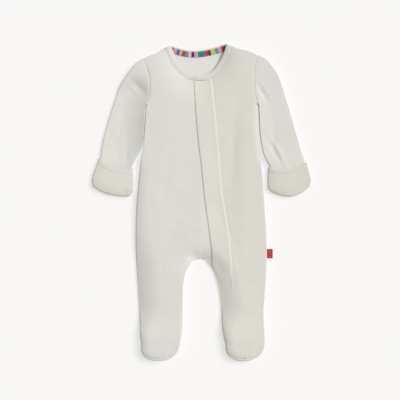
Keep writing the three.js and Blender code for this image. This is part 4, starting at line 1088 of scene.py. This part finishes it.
def stitch_tree():
    """Geometry Nodes tree that lays a row of thread stitches along each line."""
    sizes = [(label, "NodeSocketFloat", size * MM) for label, size in STITCH.items()]
    tree, given, made = new_tree(
        "stitch_rows", "GeometryNodeTree",
        [("Lines", "NodeSocketGeometry", None), *sizes, ("Thread", "NodeSocketMaterial", None)],
        [("Stitches", "NodeSocketGeometry")],
    )
    pitch = math_node(tree, "ADD", given["Stitch length"], given["Gap"])
    spread = add_node(
        tree, "GeometryNodeResampleCurve", {"Curve": given["Lines"], "Length": pitch}, mode="LENGTH",
    )
    thread = add_node(tree, "GeometryNodeMeshUVSphere", {"Segments": 6, "Rings": 4, "Radius": 1})
    half = math_node(tree, "MULTIPLY", given["Stitch length"], 0.5)
    radius = given["Thread radius"]
    size = add_node(tree, "ShaderNodeCombineXYZ", {"X": half, "Y": radius, "Z": radius})
    tangent = add_node(tree, "GeometryNodeInputTangent")
    turn = add_node(tree, "FunctionNodeAlignEulerToVector", {"Vector": tangent["Tangent"]}, axis="X")
    laid = add_node(tree, "GeometryNodeInstanceOnPoints", {
        "Points": spread["Curve"], "Instance": thread["Mesh"], "Rotation": turn["Rotation"],
        "Scale": size["Vector"],
    })
    real = add_node(tree, "GeometryNodeRealizeInstances", {"Geometry": laid["Instances"]})
    sewn = add_node(
        tree, "GeometryNodeSetMaterial", {"Geometry": real["Geometry"], "Material": given["Thread"]},
    )
    tree.links.new(sewn["Geometry"], made["Stitches"])
    return tree


def stitches(rows, thread):
    """All stitch rows as one object, made from lines of points on the cloth."""
    lines = bpy.data.curves.new("stitch_lines", "CURVE")
    lines.dimensions = "3D"
    for row in rows:
        spline = lines.splines.new("POLY")
        spline.points.add(len(row) - 1)
        places = (row + (*SHIFT, 0)) * MM
        spline.points.foreach_set("co", np.column_stack([places, np.ones(len(row))]).ravel())
    holder = in_scene("stitch_lines", lines)
    modifier = holder.modifiers.new("stitch_rows", "NODES")
    modifier.node_group = stitch_tree()
    sockets = {item.name: item.identifier for item in modifier.node_group.interface.items_tree}
    for label, size in STITCH.items():
        modifier[sockets[label]] = size * MM
    modifier[sockets["Thread"]] = thread
    graph = bpy.context.evaluated_depsgraph_get()
    mesh = bpy.data.meshes.new_from_object(holder.evaluated_get(graph))
    holder.modifiers.remove(modifier)
    bpy.data.objects.remove(holder)
    mesh.name = "stitches"
    suit_piece(mesh)


def stitch_rows():
    """Lines of points just above the cloth where seams are stitched through."""
    rows = []
    y = np.linspace(PLACKET[0, 0] - 1, PLACKET_END + 6, 260)
    for share, kept in ((0.05, y > PLACKET_RIM_Y + 8), (0.86, y < PLACKET[0, 0])):
        places = np.column_stack([mix(*placket_edges(y), share), y])[kept]
        rise = placket_rise(y[kept], share) + STITCH_HEIGHT
        rows.append(upper_cloth(places, rise=rise)[0])
    t = np.linspace(0.04, 0.97, 90)
    for edge, seam, lift in NECK_FRONT.values():
        places = mix(Curve(edge).at(t), Curve(seam).at(t), 0.9)
        rise = strip_rise(BAND_CROWN, 0.9) + lift * smooth_step(t, 0.5, 0.8) + STITCH_HEIGHT
        rows.append(upper_cloth(places, rise=rise)[0])
    _, hem, _ = HEM_GROOVE
    for side, outline in MITT_OUTLINE.items():
        places = mitt_places(side, np.linspace(0.03, 0.97, 70), np.array([hem / MITT_LENGTH]))
        row = upper_cloth(places, outline, lift=MITT_LIFT, rise=mitt_roll(hem))[0]
        rows.append(row + (0, 0, STITCH_HEIGHT))
    for share in (0.12, 0.88):
        row = tape_points(np.linspace(0.02, 0.98, 90), np.array([share]))
        rows.append(row + (0, 0, STITCH_HEIGHT))
    return rows


def object_places(tree):
    place = add_node(tree, "ShaderNodeTexCoord")["Object"]
    return place, add_node(tree, "ShaderNodeSeparateXYZ", {0: place})


def shaded(tree, colour, value):
    """A colour made darker or lighter by a value around 1."""
    return add_node(tree, "ShaderNodeVectorMath", {0: colour, "Scale": value}, operation="SCALE")[0]


def knit_group():
    """Fine knit: rows of small loops, a mottled colour with painted shade in the low places of the loops,
    and the height of both.
    """
    group, given, made = new_tree(
        "fine_knit", "ShaderNodeTree",
        [
            ("Yarn", "NodeSocketColor", PLAIN), ("Wales per metre", "NodeSocketFloat", 900),
            ("Mottle", "NodeSocketFloat", 0.03), ("Fuzz", "NodeSocketFloat", 0.3),
        ],
        [("Colour", "NodeSocketColor"), ("Roughness", "NodeSocketFloat"), ("Height", "NodeSocketFloat")],
    )
    place, split = object_places(group)
    scale = given["Wales per metre"]
    wale = math_node(group, "MULTIPLY", split["X"], scale)
    course = math_node(group, "MULTIPLY", split["Y"], math_node(group, "MULTIPLY", scale, 1.3))
    wale_sine = math_node(group, "SINE", math_node(group, "MULTIPLY", wale, math.pi))
    wale_wave = math_node(group, "ABSOLUTE", wale_sine)
    shift = math_node(group, "MULTIPLY", wale_wave, 1.6)
    turn = math_node(group, "ADD", math_node(group, "MULTIPLY", course, 2 * math.pi), shift)
    loops = math_node(group, "MULTIPLY", math_node(group, "SINE", turn), 0.35)
    broad = add_node(group, "ShaderNodeTexNoise", {"Scale": 55, "Detail": 4, "Vector": place})["Fac"]
    fuzz = add_node(group, "ShaderNodeTexNoise", {"Scale": 2600, "Detail": 3, "Vector": place})["Fac"]
    height = math_node(group, "ADD", math_node(group, "MULTIPLY", wale_wave, 0.6), loops)
    height = math_node(group, "ADD", height, math_node(group, "MULTIPLY", fuzz, given["Fuzz"]))
    group.links.new(height, made["Height"])
    uneven = math_node(group, "SUBTRACT", broad, 0.5)
    value = math_node(group, "ADD", math_node(group, "MULTIPLY", uneven, given["Mottle"]), 1)
    # Painted shade: the yarn is darker where the loops are low and lighter on their tops.
    ridge = math_node(group, "MULTIPLY", math_node(group, "SUBTRACT", height, 0.5), 0.03)
    colour = shaded(group, given["Yarn"], math_node(group, "ADD", value, ridge))
    group.links.new(colour, made["Colour"])
    rough = math_node(group, "ADD", math_node(group, "MULTIPLY", uneven, 0.12), 0.86)
    group.links.new(rough, made["Roughness"])
    return group


def weave_group():
    """Ribbon weave: fine ribs across the ribbon in a dyed colour with painted shade where the weave is low,
    and their height.
    """
    group, given, made = new_tree(
        "ribbon_weave", "ShaderNodeTree",
        [("Dye", "NodeSocketColor", PLAIN), ("Ribs per metre", "NodeSocketFloat", 2200)],
        [("Colour", "NodeSocketColor"), ("Height", "NodeSocketFloat")],
    )
    _, split = object_places(group)
    scale = math_node(group, "MULTIPLY", given["Ribs per metre"], 2 * math.pi)
    warp, weft = (
        math_node(group, "SINE", math_node(group, "MULTIPLY", split[way], scale)) for way in ("X", "Y")
    )
    height = math_node(group, "MULTIPLY", warp, weft)
    group.links.new(height, made["Height"])
    # Painted shade: the dye is darker where the weave is low and lighter on its raised crossings.
    value = math_node(group, "ADD", math_node(group, "MULTIPLY", height, 0.05), 0.97)
    group.links.new(shaded(group, given["Dye"], value), made["Colour"])
    return group


def finished(name, group, relief, finish):
    """A material with an effect group for its colour and relief, and that group's inputs."""
    material = bpy.data.materials.new(name)
    material.use_nodes = True
    tree = material.node_tree
    effect = tree.nodes.new("ShaderNodeGroup")
    effect.node_tree = group
    bump = add_node(tree, "ShaderNodeBump", {
        "Strength": 0.5, "Distance": relief, "Height": effect.outputs["Height"],
    })
    shader = tree.nodes["Principled BSDF"].inputs
    tree.links.new(effect.outputs["Colour"], shader["Base Color"])
    tree.links.new(bump["Normal"], shader["Normal"])
    if "Roughness" in effect.outputs:
        tree.links.new(effect.outputs["Roughness"], shader["Roughness"])
    for label, value in finish.items():
        shader[label].default_value = value
    return material, effect.inputs


def cloth_material(name, yarn, knit, wales=900):
    material, effect = finished(name, knit, KNIT_RELIEF, KNIT_FINISH)
    effect["Yarn"].default_value = (*linear(*yarn), 1)
    effect["Wales per metre"].default_value = wales
    return material


def ribbon_material(name, weave):
    """Woven ribbon, with the input that takes its dye."""
    material, effect = finished(name, weave, RIBBON_RELIEF, RIBBON_FINISH)
    return material, effect["Dye"]


def stripes(tree, table):
    """Colour of stripes one after another, each given as a width and a dye."""
    way = add_node(tree, "ShaderNodeUVMap", uv_map="tape")["UV"]
    split = add_node(tree, "ShaderNodeSeparateXYZ", {0: way})
    ramp = tree.nodes.new("ShaderNodeValToRGB")
    tree.links.new(split["X"], ramp.inputs["Fac"])
    ramp.color_ramp.interpolation = "CONSTANT"
    stops = ramp.color_ramp.elements
    stops.remove(stops[1])
    total = sum(width for width, _ in table)
    start = 0.0
    for width, dye in table:
        stop = stops[0] if start == 0 else stops.new(start / total)
        stop.position = start / total
        stop.color = (*linear(*DYES[dye]), 1)
        start += width
    return ramp.outputs["Color"]


def linear(red, green, blue):
    """An sRGB colour of 0 to 255 as the linear values that nodes take."""
    return tuple(
        ((v / 255 + 0.055) / 1.055) ** 2.4 if v > 10 else v / 255 / 12.92 for v in (red, green, blue)
    )


def studio_floor(grey, glow):
    """Pale paper that shines a little from below."""
    material = bpy.data.materials.new("floor")
    material.use_nodes = True
    shader = material.node_tree.nodes["Principled BSDF"].inputs
    for label, value in {
        "Base Color": (*linear(*grey), 1), "Roughness": 1, "Specular IOR Level": 0,
        "Emission Color": (1, 1, 1, 1), "Emission Strength": glow,
    }.items():
        shader[label].default_value = value
    mesh = bpy.data.meshes.new("floor")
    mesh.from_pydata([(-4, -4, 0), (4, -4, 0), (4, 4, 0), (-4, 4, 0)], [], [(0, 1, 2, 3)])
    mesh.materials.append(material)
    in_scene("floor", mesh)


def key_light(azimuth, elevation, strength, spread, colour):
    """Soft light from one side, its angles in degrees in the picture and above the floor."""
    data = bpy.data.lights.new("key", "SUN")
    data.energy = strength
    data.angle = math.radians(spread)
    data.color = colour
    turn, rise = math.radians(azimuth), math.radians(elevation)
    toward = Vector((math.cos(turn) * math.cos(rise), math.sin(turn) * math.cos(rise), math.sin(rise)))
    light = in_scene("key", data)
    light.location = toward * 3
    light.rotation_euler = toward.to_track_quat("Z", "Y").to_euler()


def sky_light(strength, colour):
    """Even light from all round."""
    world = bpy.data.worlds.new("studio")
    bpy.context.scene.world = world
    world.use_nodes = True
    background = world.node_tree.nodes["Background"].inputs
    background["Color"].default_value = (*colour, 1)
    background["Strength"].default_value = strength


def camera(height):
    """Camera straight above the suit."""
    data = bpy.data.cameras.new("camera")
    data.lens = 100
    data.sensor_width = 36
    data.clip_end = 20
    eye = in_scene("camera", data)
    eye.location = ((LOOK_SHIFT[0] + SHIFT[0]) * MM, (LOOK_SHIFT[1] + SHIFT[1]) * MM, height)
    bpy.context.scene.camera = eye


camera(height=2.008)
knit = knit_group()
weave = weave_group()
ivory = cloth_material("ivory_knit", (225, 224.5, 220), knit)
# Painted light: the back's knit has a lighter tone than the rest, to lift the shade that falls on it
# through the neck opening.
ivory_painted_light = cloth_material("ivory_knit_painted_light", (230, 230, 227), knit)
# Painted shade: the pieces on the suit's left side have a darker tone that stands in for light falling off
# across the suit.
ivory_painted_shade = cloth_material("ivory_knit_painted_shade", (225, 223.5, 217), knit)
ivory_placket = cloth_material("ivory_knit_doubled", (225, 223.5, 217), knit)
ivory_mitten = cloth_material("ivory_knit_mitten", (226, 224, 217), knit)
# Painted shade: the left mitten's darker tone stands in for light falling off across the suit.
ivory_mitten_painted_shade = cloth_material("ivory_knit_mitten_painted_shade", (222, 220, 212), knit)
ivory_binding = cloth_material("ivory_knit_binding", (225, 224, 219), knit, wales=1100)
ivory_thread = cloth_material("ivory_thread", (221, 217, 207), knit, wales=3000)
striped_tape, tape_dye = ribbon_material("striped_tape", weave)
striped_tape.node_tree.links.new(stripes(striped_tape.node_tree, STRIPES), tape_dye)
red_ribbon, tab_dye = ribbon_material("red_tab", weave)
tab_dye.default_value = (*linear(182, 58, 70), 1)

# Each piece of cloth, the node it stands for, its flat width and length, and its flat area.
PIECES = [
    (back(ivory_painted_light), "back", (0.26, 0.56), 0.103),
    (front_right(ivory), "front_right", (0.18, 0.6), 0.0593),
    (front_left(ivory_painted_shade), "front_left", (0.12, 0.6), 0.0423),
    (placket(ivory_placket), "placket", (0.04, 0.4), 0.0145),
    (sleeve("right", ivory), "sleeve_right", (0.19, 0.21), 0.0243),
    (sleeve("left", ivory), "sleeve_left", (0.19, 0.21), 0.0243),
    (mitt("right", ivory_mitten), "mitt_right", (0.17, 0.07), 0.0079),
    (mitt("left", ivory_mitten_painted_shade), "mitt_left", (0.17, 0.07), 0.0079),
    (front_binding("right", ivory_binding), "neck_band_front_right", (0.013, 0.096), 0.0011),
    (front_binding("left", ivory_binding), "neck_band_front_left", (0.013, 0.096), 0.0012),
    (back_binding(ivory_binding), "neck_band_back", (0.012, 0.12), 0.0012),
    (tape(striped_tape), "neck_tape", (0.01, 0.11), 0.0011),
    (sole("right", ivory), "sole_right", (0.09, 0.08), 0.0052),
    (sole("left", ivory_painted_shade), "sole_left", (0.09, 0.08), 0.0052),
    (side_tab(red_ribbon), "side_tab", (0.0168, 0.0225), 0.00037),
]
for piece, node, flat, area in PIECES:
    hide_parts(node)

stitches(stitch_rows(), ivory_thread)
studio_floor(grey=(159, 158, 157), glow=0.6)
key_light(azimuth=28, elevation=52, strength=2.52, spread=36, colour=(1.0, 0.985, 0.97))
sky_light(strength=0.34, colour=(1, 0.985, 0.955))
bpy.context.scene.view_settings.view_transform = "Standard"
